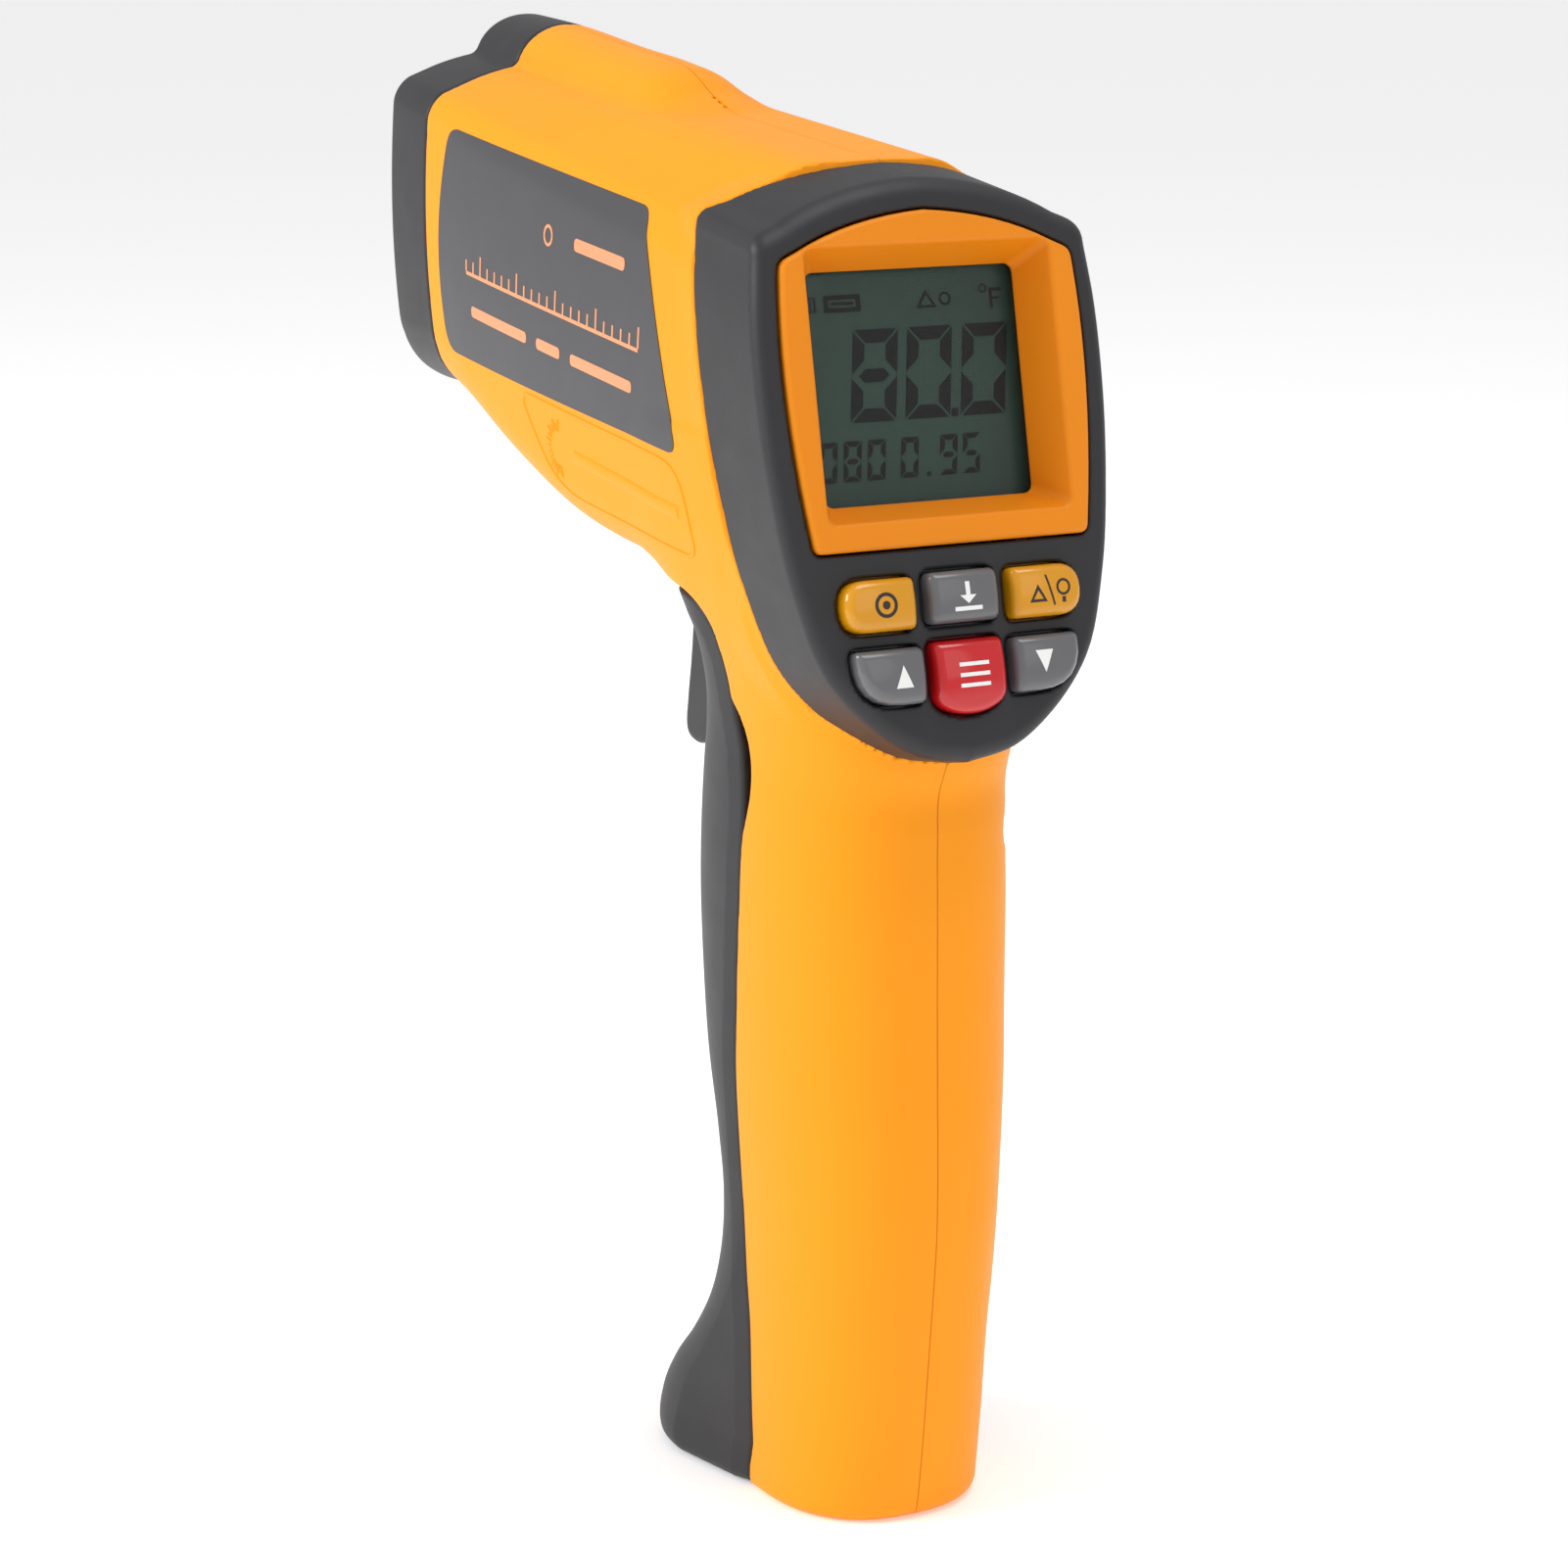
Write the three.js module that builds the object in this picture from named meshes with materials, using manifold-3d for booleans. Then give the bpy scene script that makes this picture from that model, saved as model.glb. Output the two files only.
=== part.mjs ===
// Hand-held infrared thermometer: a pistol-shaped instrument with a lens in its nose, a display
// and six keys on its rear face, a trigger, and a battery door that is the front of its handle.
//
// All sizes are millimetres. X runs from the rear face to the nose, +Y is the instrument's left
// side, Z is up. The shapes are laid out from the heel, the rear edge of the handle's foot, and
// the finished group is moved so that X = 0 is the middle of the overall length.

import * as THREE from 'three';
import Module from 'manifold-3d';
import { mergeVertices } from 'three/addons/utils/BufferGeometryUtils.js';
import { LoftGeometry } from 'three/addons/geometries/LoftGeometry.js';

// ---- driving dimensions ----------------------------------------------------------------------

const WALL = 2.4;                  // moulded shell thickness
const GAP = 0.3;                   // clearance between neighbouring pieces
const MID_LENGTH = 62.4;           // heel to the middle of the overall length

const FACE_TILT = 0.21;            // rear face leans back from vertical, radians
const FACE_ORIGIN = [-8.66, 0, 151.67];   // middle of the display frame's lower edge
const BEZEL_DEPTH_MIDDLE = 11;     // depth of the bezel's rim on the centre line
const BEZEL_DEPTH_SIDE = 19.8;       // and at its sides
const FACE_WALL = 2.6;             // thickness of the bezel's front wall

const ROOF_START_Z = 203;          // height of the barrel's ridge above the heel
const ROOF_SLOPE = 0.0873;         // rise of the ridge towards the nose
const NOSE_SEAM_X = 122.5;         // joint between the housings and the nose cap
const NOSE_X = 141;                // front of the nose cap

const DOOR_SEAM_X = 20.8;          // joint between the housings and the battery door
const HINGE = { x: 47, z: 6.4, lug: 6, swing: 6.6, half: 13 };   // battery door hinge, inside the toe
const PIN_RADIUS = 1.5;

const TRIGGER = { x: 57, z: 150, boss: 4.2, half: 7.5 };

const OPTIC_Z = 184;               // optical axis
const TUBE_RADIUS = 13.2;
const TUBE_WALL = 2;
const LASER_Z = 210.2;             // aiming laser axis, inside the hump
const LASER_RADIUS = 4;

const BOARD_DEPTH = 14.5;          // depth of the main board behind the face
const BOARD_THICKNESS = 1.6;

const HOUSING_SCREWS = [[9, 14], [4.5, 106], [34, 194], [70, 153.4], [108, 162.6]];   // [x, z]

// ---- materials -------------------------------------------------------------------------------

const plastic = (color, roughness) => new THREE.MeshStandardMaterial({ color, roughness });
const metal = (color, roughness) =>
  new THREE.MeshStandardMaterial({ color, roughness, metalness: 1 });

const ORANGE = plastic(0xf59a26, 0.5);
const BLACK = plastic(0x3a393b, 0.6);
const LABEL_GREY = plastic(0x56565a, 0.55);
const AMBER = plastic(0xe0a01e, 0.25);
const GREY = plastic(0x7c7c80, 0.25);
const RED = plastic(0xd42a2e, 0.2);
const SILICONE = plastic(0xc8c8c4, 0.7);
const BOARD_GREEN = plastic(0x1e6b3c, 0.45);
const LCD_GREEN = plastic(0x55705f, 0.2);
const CLEAR = new THREE.MeshStandardMaterial({
  color: 0xe8f2ee, roughness: 0.05, transparent: true, opacity: 0.3,
});
const WHITE = plastic(0xe9e9e4, 0.4);
const GLASS = plastic(0x31424a, 0.05);
const STEEL = metal(0xb9babd, 0.3);
const BRASS = metal(0xb9964a, 0.35);
const BATTERY_BLUE = plastic(0x2c4a78, 0.3);
const LEAD_RED = plastic(0xb92a24, 0.5);
const LEAD_BLACK = plastic(0x202022, 0.5);

// ---- solids ----------------------------------------------------------------------------------

const wasm = await Module();
wasm.setup();

// A closed three.js geometry as a solid for cutting and joining.
function solid(geometry) {
  const bare = geometry.index ? geometry.toNonIndexed() : geometry.clone();
  bare.deleteAttribute('normal');
  bare.deleteAttribute('uv');
  const merged = mergeVertices(bare, 1e-4);
  const corners = merged.index.array;
  const kept = [];
  for (let i = 0; i < corners.length; i += 3) {
    const [a, b, c] = [corners[i], corners[i + 1], corners[i + 2]];
    if (a !== b && b !== c && c !== a) kept.push(a, b, c);
  }
  return new wasm.Manifold(new wasm.Mesh({
    numProp: 3,
    vertProperties: new Float32Array(merged.attributes.position.array),
    triVerts: new Uint32Array(kept),
  }));
}

function geometryOf(body) {
  const mesh = body.getMesh();
  const geometry = new THREE.BufferGeometry();
  geometry.setAttribute('position', new THREE.BufferAttribute(mesh.vertProperties, 3));
  geometry.setIndex(new THREE.BufferAttribute(mesh.triVerts, 1));
  return geometry;
}

const join = (bodies) => bodies.reduce((sum, body) => sum.add(body));
const cut = (body, tools) => tools.reduce((rest, tool) => rest.subtract(tool), body);

function block(x0, x1, y0, y1, z0, z1) {
  const geometry = new THREE.BoxGeometry(x1 - x0, y1 - y0, z1 - z0);
  return solid(geometry.translate((x0 + x1) / 2, (y0 + y1) / 2, (z0 + z1) / 2));
}

// A round bar along Y at (x, z), from y0 to y1.
function barY(radius, x, z, y0, y1, sides = 20) {
  const geometry = new THREE.CylinderGeometry(radius, radius, y1 - y0, sides);
  return solid(geometry.translate(x, (y0 + y1) / 2, z));
}

// A turned piece about a line along X at height z; the profile is [x, radius] points.
function turnedX(profile, z, sides = 32) {
  const points = profile.map(([x, radius]) => new THREE.Vector2(radius, x));
  const geometry = new THREE.LatheGeometry(points, sides);
  return solid(geometry.rotateZ(-Math.PI / 2).translate(0, 0, z));
}

const barX = (radius, z, x0, x1, sides = 24) =>
  turnedX([[x0, 0], [x0, radius], [x1, radius], [x1, 0]], z, sides);

// An outline in the X-Z plane, given thickness from y0 to y1.
function plateXZ(points, y0, y1) {
  const shape = new THREE.Shape(points.map(([x, z]) => new THREE.Vector2(x, z)));
  const geometry = new THREE.ExtrudeGeometry(shape, { depth: y1 - y0, bevelEnabled: false });
  return solid(geometry.rotateX(Math.PI / 2).translate(0, y1, 0));
}

// ---- the rear face's own frame ---------------------------------------------------------------
// u runs to the viewer's right (-Y), v runs up the face and w out of it, towards the viewer.

const FACE = new THREE.Matrix4()
  .makeBasis(
    new THREE.Vector3(0, -1, 0),
    new THREE.Vector3(Math.sin(FACE_TILT), 0, Math.cos(FACE_TILT)),
    new THREE.Vector3(-Math.cos(FACE_TILT), 0, Math.sin(FACE_TILT)),
  )
  .setPosition(...FACE_ORIGIN);

// An outline on the face, from `front` to `back` millimetres below its surface.
function platePressed(shape, front, back, bevel = 0) {
  const geometry = new THREE.ExtrudeGeometry(shape, {
    depth: back - front - bevel,
    bevelEnabled: bevel > 0,
    bevelThickness: bevel,
    bevelSize: bevel,
    bevelOffset: -bevel,
    bevelSegments: 1,
    curveSegments: 4,
  });
  let body = solid(geometry.translate(0, 0, -back));
  if (bevel > 0) {
    // The bevel belongs on the outer end only: square off the inner one.
    const reach = 100;
    const keep = new THREE.BoxGeometry(reach, reach, reach).translate(0, 0, reach / 2 - back);
    body = body.intersect(solid(keep));
  }
  return onFace(body);
}

const onFace = (body) => body.transform(FACE.toArray());

function rectangle(u0, u1, v0, v1, radius) {
  const shape = new THREE.Shape();
  shape.moveTo(u0 + radius, v0);
  shape.lineTo(u1 - radius, v0);
  shape.quadraticCurveTo(u1, v0, u1, v0 + radius);
  shape.lineTo(u1, v1 - radius);
  shape.quadraticCurveTo(u1, v1, u1 - radius, v1);
  shape.lineTo(u0 + radius, v1);
  shape.quadraticCurveTo(u0, v1, u0, v1 - radius);
  shape.lineTo(u0, v0 + radius);
  shape.quadraticCurveTo(u0, v0, u0 + radius, v0);
  return shape;
}

// ---- outer form: handle ----------------------------------------------------------------------

// Half breadth of a rounded section at a fraction t of the way from its widest place to its end.
const BLUNTNESS = 2.4;
const rounded = (t) => (1 - t ** BLUNTNESS) ** (1 / BLUNTNESS);

// Stations up the handle: height, rear end, half breadth at the door seam, the widest place
// forward of the seam and its half breadth, and the front end.
const HANDLE = [
  [0, 1.2, 16.6, 39, 20.4, 54.5],
  [2.5, -0.2, 17.3, 39.5, 21.5, 57.2],
  [8, -1.3, 17.5, 39, 21.4, 57.6],
  [14, -2.1, 17.7, 37, 20.6, 54],
  [20, -2.8, 17.9, 33, 19.8, 47.4],
  [36, -4.6, 18.5, 24, 18.9, 39.4],
  [46, -5.6, 18.9, 23, 18.9, 38.2],
  [56, -5.8, 19.4, 23, 19.4, 39.7],
  [68, -5.5, 20, 23, 20, 43.4],
  [82, -5.2, 20.1, 23, 20.1, 46.2],
  [96, -5, 20.2, 23, 20.2, 47.3],
  [108, -4.8, 20, 23, 20, 46.8],
  [120, -7.5, 20, 23, 20, 44.2],
  [128, -8, 21, 24, 21, 41.2],
  [136, -8, 23, 25, 23, 42],
  [141, -8, 24, 27, 24, 50],
  [144.5, -8, 24.8, 28, 24.8, 62],
  [150, -6, 25.6, 28, 25.6, 70],
];

function handleRing([z, rear, seamHalf, wideX, wideHalf, front], inset) {
  const left = [];
  const arcSteps = 6;
  const rearReach = DOOR_SEAM_X - rear - inset;
  for (let i = 0; i <= arcSteps; i++) {
    const t = Math.cos((i / arcSteps) * Math.PI / 2);
    left.push([DOOR_SEAM_X - rearReach * t, (seamHalf - inset) * rounded(t)]);
  }
  const frontReach = front - wideX - inset;
  for (let i = 0; i <= arcSteps; i++) {
    const t = Math.sin((i / arcSteps) * Math.PI / 2);
    left.push([wideX + frontReach * t, (wideHalf - inset) * rounded(t)]);
  }
  const right = left.slice(1, -1).reverse().map(([x, y]) => [x, -y]);
  return left.concat(right).reverse().map(([x, y]) => new THREE.Vector3(x, y, z));
}

function handleForm(inset = 0) {
  const rings = HANDLE.map((station) => handleRing(station, inset));
  return solid(new LoftGeometry(rings, { capStart: true, capEnd: true }));
}

// ---- outer form: barrel, hump and nose -------------------------------------------------------

const roofZ = (x) => ROOF_START_Z + ROOF_SLOPE * x;

// Stations along the barrel: x, underside, half breadth, shoulder height, shoulder half breadth
// and the radius of the lower edges.
const BARREL = [
  [8, 146, 26.6, 194, 25.2, 8],
  [25, 143.5, 27.1, 196.3, 25.2, 8],
  [50, 143.4, 27.2, 199.7, 25.2, 8],
  [69, 145.3, 27.2, 202.2, 25.2, 8],
  [NOSE_SEAM_X, 160, 26.3, 209.4, 24.3, 9.5],
  [NOSE_X - 2, 159.6, 25.4, 211.2, 23.4, 10.5],
  [NOSE_X, 161, 24, 210, 22, 9.5],
];
const SHOULDER_RADIUS = 4;         // upper edges
const CROWN_EDGE = 12;             // the roof is nearly flat this far from its ridge
const CROWN_DROP = 0.4;

function barrelRing([x, under, half, shoulder, shoulderHalf, underRadius], inset) {
  const left = [];
  const arc = (cy, cz, radius, from, to, steps) => {
    for (let i = 0; i <= steps; i++) {
      const angle = from + ((to - from) * i) / steps;
      left.push([cy + radius * Math.cos(angle), cz + radius * Math.sin(angle)]);
    }
  };
  const upper = SHOULDER_RADIUS - inset;
  const lowHalf = half - 1.3;
  left.push([0, under + inset]);
  arc(lowHalf - underRadius, under + underRadius, underRadius - inset, -Math.PI / 2, -0.1, 4);
  left.push([half - inset, (under + shoulder) / 2]);
  arc(shoulderHalf - SHOULDER_RADIUS + 0.9, shoulder - SHOULDER_RADIUS, upper, 0.15, 1.15, 2);
  left.push([CROWN_EDGE, roofZ(x) - CROWN_DROP - inset]);
  left.push([0, roofZ(x) - inset]);
  const right = left.slice(1, -1).reverse().map(([y, z]) => [-y, z]);
  return left.concat(right).map(([y, z]) => new THREE.Vector3(x, y, z));
}

function barrelForm(inset = 0, stations = BARREL) {
  const rings = stations.map((station) => barrelRing(station, inset));
  return solid(new LoftGeometry(rings, { capStart: true, capEnd: true }));
}

// The hump along the front of the roof: x, height of its top.
const HUMP = [[64, 208.7], [69, 211.1], [73, 213.1], [77, 214.6], [100, 217.3],
  [NOSE_SEAM_X, 219.9], [NOSE_X - 2, 221.2], [NOSE_X, 219.6]];
const HUMP_HALF = 9.6;
const HUMP_SIDES = 18;

function humpForm(inset = 0) {
  const rings = HUMP.map(([x, top]) => {
    const middle = roofZ(x) - 2;
    return Array.from({ length: HUMP_SIDES }, (_, i) => {
      const angle = (i / HUMP_SIDES) * 2 * Math.PI;
      const y = (HUMP_HALF - inset) * Math.cos(angle);
      const z = middle + Math.max(top - middle - inset, 0.6) * Math.sin(angle);
      return new THREE.Vector3(x, y, z);
    });
  });
  return solid(new LoftGeometry(rings, { capStart: true, capEnd: true }));
}

// ---- outer form: bezel -----------------------------------------------------------------------

// Left half of the face's outline, from the bottom to the top: [sideways, up the face].
const FACE_OUTLINE = [[0, -31.2], [8, -29.4], [15.5, -24.6], [21.6, -17.4], [25.2, -7],
  [27.3, 8], [28.3, 24], [27.5, 39.5], [26.2, 43.6], [22.6, 45.7], [12.5, 49.8], [0, 51.6]];
const FACE_STEPS = 14;
const FACE_BOTTOM = -31.2;
const FACE_HEIGHT = 82.8;
const TOP_RISE = 0.38;             // how far the bezel's top rises per millimetre of depth
const SIDE_TAPER = 0.002;          // how much its sides draw in per millimetre of depth

function faceRing(depth, inset) {
  const points = FACE_OUTLINE.map(([side, up]) => new THREE.Vector2(side, up));
  const left = new THREE.SplineCurve(points).getPoints(FACE_STEPS);
  const middleUp = FACE_BOTTOM + FACE_HEIGHT / 2;
  const lift = 1 + (TOP_RISE * depth) / FACE_HEIGHT;
  const place = (side, up) => {
    const across = side * (1 - SIDE_TAPER * depth) * (1 - inset / 28.3);
    const rise = FACE_BOTTOM + (up - FACE_BOTTOM) * lift;
    const along = middleUp + (rise - middleUp) * (1 - (2 * inset) / FACE_HEIGHT);
    return new THREE.Vector3(across, along, -depth);
  };
  const right = left.map(({ x, y }) => place(x, y));
  const other = left.slice(1, -1).reverse().map(({ x, y }) => place(-x, y));
  return right.concat(other);
}

function bezelForm(front, back, inset = 0, softened = false) {
  const depths = softened ? [[back, 0], [front + 1.6, 0], [front, 1.5]] : [[back, 0], [front, 0]];
  const rings = depths.map(([depth, extra]) => faceRing(depth, inset + extra));
  return onFace(solid(new LoftGeometry(rings, { capStart: true, capEnd: true })));
}

// Everything nearer the face than the bezel's curved rim, moved back by `extra`.
function rimSide(extra) {
  const half = 34;
  const steps = 8;
  const shape = new THREE.Shape();
  shape.moveTo(-half, -10);
  shape.lineTo(half, -10);
  for (let i = 0; i <= steps; i++) {
    const u = half - (2 * half * i) / steps;
    const spread = BEZEL_DEPTH_SIDE - BEZEL_DEPTH_MIDDLE;
    shape.lineTo(u, BEZEL_DEPTH_MIDDLE + spread * (u / 25) ** 2 + extra);
  }
  const geometry = new THREE.ExtrudeGeometry(shape, { depth: 200, bevelEnabled: false });
  return onFace(solid(geometry.rotateX(-Math.PI / 2).translate(0, -100, 0)));
}

// ---- outer form: the whole, and its division between the pieces ------------------------------

const handleOuter = handleForm();
const barrelOuter = barrelForm();
const bezelOuter = bezelForm(0, 27, 0, true);
const outer = join([handleOuter, barrelOuter, humpForm(), bezelOuter]);
const bezelRegion = bezelOuter.intersect(rimSide(0));
const bezelClearance = bezelForm(-2, 27, -GAP).intersect(rimSide(GAP));

// The door's edge, seen from the side. The housings stop GAP short of it.
const DOOR_EDGE = [[23, -1], [22.2, 4], [21.3, 8], [21.8, 67], [19.9, 98], [19.9, 118], [21.6, 124],
  [22, 132], [23.2, 136.2], [25.6, 138.4], [29, 140], [34, 140.6], [60, 141.4]];
const DOOR_TOP = 140.1;
const doorSide = (extra) => plateXZ(
  DOOR_EDGE.map(([x, z]) => [x - extra, z + extra]).concat([[90, 141.4 + extra], [90, -1]]), -40, 40);

// The finger scoop that bares the door's flank, so the door can be pulled open.
const SCOOP = [[25, 104], [19.6, 104.6], [17.6, 108.6], [16.8, 113.6], [17.6, 119.4], [19.8, 123.4],
  [25, 126.6]];

// The hollow inside the housings, and the slightly larger form that ribs and bosses root into.
const hollow = (inset) => join([handleForm(inset), barrelForm(inset), humpForm(inset)]);
const ROOT = 0.5;

function shellForm() {
  const front = block(NOSE_SEAM_X - GAP / 2, 200, -60, 60, 100, 260);
  const base = block(-30, 60, -40, 40, -1, WALL);
  const bore = hollow(WALL).add(bezelForm(2, 30, WALL)).subtract(base);
  const behindRim = rimSide(GAP).intersect(block(-60, 60, -60, 60, 140, 260));
  return cut(outer, [bore, front, bezelClearance, behindRim, doorSide(GAP)]);
}

// ---- housings --------------------------------------------------------------------------------

const LABEL = [[112.4, 204.3], [37, 196.4], [25.6, 161.6], [116, 167.6], [117.6, 186]];
const TRIGGER_SLOT = block(43, 67.5, -8.4, 8.4, 118, 148);

function housings() {
  const inner = hollow(WALL - ROOT);
  const tongue = join([
    block(12, HINGE.x - 3, -HINGE.half, HINGE.half, 0, WALL),
    barY(HINGE.lug, HINGE.x, HINGE.z, -HINGE.half, -6),
    barY(HINGE.lug, HINGE.x, HINGE.z, 6, HINGE.half),
    block(HINGE.x - HINGE.lug, HINGE.x + 1, -HINGE.half, HINGE.half, 0.4, WALL),
  ]);
  const shelves = join([block(-10, 20.4, -30, 30, 35.8, 37.4), block(-10, 19.4, -30, 30, 97, 98.6)]);
  const clampRibs = join([block(92, 94, -30, 30, 166, 202), block(112, 114, -30, 30, 172, 196)]);
  const laserRib = block(104, 106, -30, 30, 203, 222);
  const ribs = join([shelves, clampRibs, laserRib]).intersect(inner);
  const pivotBoss = join([
    barY(4, TRIGGER.x, TRIGGER.z, -26, -8.6),
    barY(4, TRIGGER.x, TRIGGER.z, 8.6, 26),
  ]).intersect(inner);
  const holes = [
    barX(TUBE_RADIUS + GAP, OPTIC_Z, 80, 130, 28),
    barX(LASER_RADIUS + GAP, LASER_Z, 96, 123, 16),
    block(9, 15, -4, 8, 96, 100),
    barY(PIN_RADIUS + GAP, HINGE.x, HINGE.z, -30, 30, 14),
    barY(PIN_RADIUS + GAP, TRIGGER.x, TRIGGER.z, -15, 15, 14),
    TRIGGER_SLOT,
    plateXZ(SCOOP, -40, 40),
    labelForm(1, 0.4, 0.5),
  ];
  const body = join([shellForm(), tongue, ribs, pivotBoss]);
  const bosses = HOUSING_SCREWS.map(([x, z]) => ({
    left: barY(3.4, x, z, 0, 30, 16).intersect(inner),
    right: barY(4.6, x, z, -30, 0, 16).intersect(inner),
    thread: barY(1.5, x, z, -1, 9, 12),
    shaft: barY(1.5, x, z, -30, 1, 12),
    head: barY(3.1, x, z, -40, -12, 16),
  }));
  const left = body.add(join(bosses.map((boss) => boss.left)))
    .intersect(block(-40, 160, GAP / 2, 60, -1, 260));
  const right = body.add(join(bosses.map((boss) => boss.right)))
    .intersect(block(-40, 160, -60, -GAP / 2, -1, 260));
  add('housing_left', cut(left, [...holes, ...bosses.map((boss) => boss.thread)]), ORANGE);
  add('housing_right', cut(right, [
    ...holes,
    ...bosses.map((boss) => boss.shaft),
    ...bosses.map((boss) => boss.head),
  ]), ORANGE);
}

function housingScrews() {
  HOUSING_SCREWS.forEach(([x, z], i) => {
    const screw = barY(2.7, x, z, -13.9, -12.3, 14).add(barY(1.15, x, z, -12.5, 8, 10));
    const slot = block(x - 2, x + 2, -14.2, -13.3, z - 0.35, z + 0.35);
    add(`housing_screw_${i + 1}`, screw.subtract(slot), STEEL);
  });
}

// A thin plate that follows the barrel's sides inside the label's outline.
function labelForm(depth, grow, proud = 0) {
  const outline = LABEL.map(([x, z]) => [
    72 + (x - 72) * (1 + grow / 40),
    184 + (z - 184) * (1 + grow / 18),
  ]);
  const sides = join([plateXZ(outline, 15, 40), plateXZ(outline, -40, -15)]);
  return barrelForm(-proud).intersect(sides).subtract(barrelForm(depth));
}

function labels() {
  const plates = labelForm(0.7, 0);
  const leftHalf = block(0, 160, 0, 60, 100, 260);
  add('label_left', plates.intersect(leftHalf), LABEL_GREY);
  add('label_right', plates.subtract(leftHalf), LABEL_GREY);
}

// ---- nose: cap, optics and laser -------------------------------------------------------------

function nose() {
  const capStations = BARREL.slice(-3);
  const body = join([barrelForm(0, capStations), humpForm()])
    .intersect(block(NOSE_SEAM_X + GAP / 2, 200, -60, 60, 100, 260));
  const recess = turnedX([[129, 0], [129, 13], [NOSE_X + 1, 17.6], [NOSE_X + 1, 0]], OPTIC_Z);
  add('front_cap', cut(body, [
    recess,
    barX(TUBE_RADIUS + GAP, OPTIC_Z, 120, 130, 32),
    barX(3, LASER_Z, 120, 145, 16),
    barX(4.6, LASER_Z, 120, 128, 16),
  ]), BLACK);

  const inner = TUBE_RADIUS - TUBE_WALL;
  add('lens_tube', barX(TUBE_RADIUS, OPTIC_Z, 86, 124, 28)
    .subtract(barX(inner, OPTIC_Z, 85, 125, 28)), BLACK);
  add('lens', turnedX([[119.4, 0], [120, 7], [120.8, inner - GAP], [122.6, inner - GAP],
    [123.4, 7], [123.9, 0]], OPTIC_Z, 24), GLASS);
  add('lens_ring', barX(TUBE_RADIUS - 0.4, OPTIC_Z, 124.3, 126.4, 28)
    .subtract(barX(9.6, OPTIC_Z, 124, 127, 28)), BLACK);
  add('sensor_can', barX(4.6, OPTIC_Z, 85.9, 90, 20).add(barX(3.2, OPTIC_Z, 89, 91, 16)), STEEL);
  add('sensor_board', barX(12, OPTIC_Z, 84, 85.6, 24), BOARD_GREEN);
  add('laser_module', barX(LASER_RADIUS, LASER_Z, 100, 122, 20)
    .add(barX(3, LASER_Z, 97, 100.5, 16)), BRASS);
  add('laser_window', barX(2.7, LASER_Z, 135, 136.2, 16), GLASS);
}

// ---- display and keypad ----------------------------------------------------------------------

// The display frame: straight foot, leaning sides and a peaked top.
function frameOutline(grow) {
  const shape = new THREE.Shape();
  shape.moveTo(-22.2 - grow, -grow);
  shape.lineTo(22.2 + grow, -grow);
  shape.quadraticCurveTo(24.9 + grow, 24, 23.2 + grow, 40.6 + grow);
  shape.quadraticCurveTo(14, 46, 0, 47.4 + grow);
  shape.quadraticCurveTo(-14, 46, -23.2 - grow, 40.6 + grow);
  shape.quadraticCurveTo(-24.9 - grow, 24, -22.2 - grow, -grow);
  return shape;
}

// The window opening narrows from the front of the frame to the lens behind it.
function windowOpening() {
  const ring = (half, low, high, depth) => [[half, low], [half, high], [-half, high], [-half, low]]
    .map(([u, v]) => new THREE.Vector3(u, v, -depth));
  const rings = [ring(17, 6.5, 39.8, 20), ring(17, 6.5, 39.8, 5.6), ring(20.6, 3.3, 43.4, -2)];
  return onFace(solid(new LoftGeometry(rings, { capStart: true, capEnd: true })));
}

// Key caps, seen from the front: the outer ends of the upper row are round and the outer lower
// corners of the lower row are cut away in a curve.
function sideKeyShape(u, v, side) {
  const [width, height, radius] = [11.4, 7.4, 3.5];
  const shape = new THREE.Shape();
  const inner = u - side * width / 2;
  const outerArc = u + side * (width / 2 - radius);
  shape.moveTo(inner, v - height / 2);
  shape.lineTo(outerArc, v - height / 2);
  shape.quadraticCurveTo(u + side * width / 2, v - height / 2, u + side * width / 2, v);
  shape.quadraticCurveTo(u + side * width / 2, v + height / 2, outerArc, v + height / 2);
  shape.lineTo(inner, v + height / 2);
  return shape;
}

function arrowKeyShape(u, v, side) {
  const [width, height] = [10.8, 8];
  const [inner, outerEnd] = [u - side * width / 2, u + side * width / 2];
  const shape = new THREE.Shape();
  shape.moveTo(inner, v - height / 2);
  shape.quadraticCurveTo(outerEnd, v - height / 2, outerEnd, v + height / 2);
  shape.lineTo(inner, v + height / 2);
  return shape;
}

function modeKeyShape(u, v) {
  const [half, top, side, bottom] = [5.7, 5, -3.6, -5.6];
  const shape = new THREE.Shape();
  shape.moveTo(u - half, v + side);
  shape.quadraticCurveTo(u, v + 2 * bottom - side, u + half, v + side);
  shape.lineTo(u + half, v + top);
  shape.lineTo(u - half, v + top);
  return shape;
}

const KEYS = [
  { name: 'key_set', u: -13.5, v: -7.8, outline: (u, v) => sideKeyShape(u, v, -1), finish: AMBER },
  { name: 'key_store', u: 0, v: -7.5, outline: (u, v) => rectangle(u - 5.6, u + 5.6, v - 3.7, v + 3.7, 1.4),
    finish: GREY },
  { name: 'key_light', u: 13.5, v: -7.8, outline: (u, v) => sideKeyShape(u, v, 1), finish: AMBER },
  { name: 'key_up', u: -12.7, v: -18, outline: (u, v) => arrowKeyShape(u, v, -1), finish: GREY },
  { name: 'key_mode', u: 0, v: -18.6, outline: modeKeyShape, finish: RED },
  { name: 'key_down', u: 12.7, v: -18, outline: (u, v) => arrowKeyShape(u, v, 1), finish: GREY },
];
const KEY_PROUD = 2.8;
const KEY_BACK = 6;                // depth of the back of a key's skirt
const KEY_CLEARANCE = 0.45;

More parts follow.
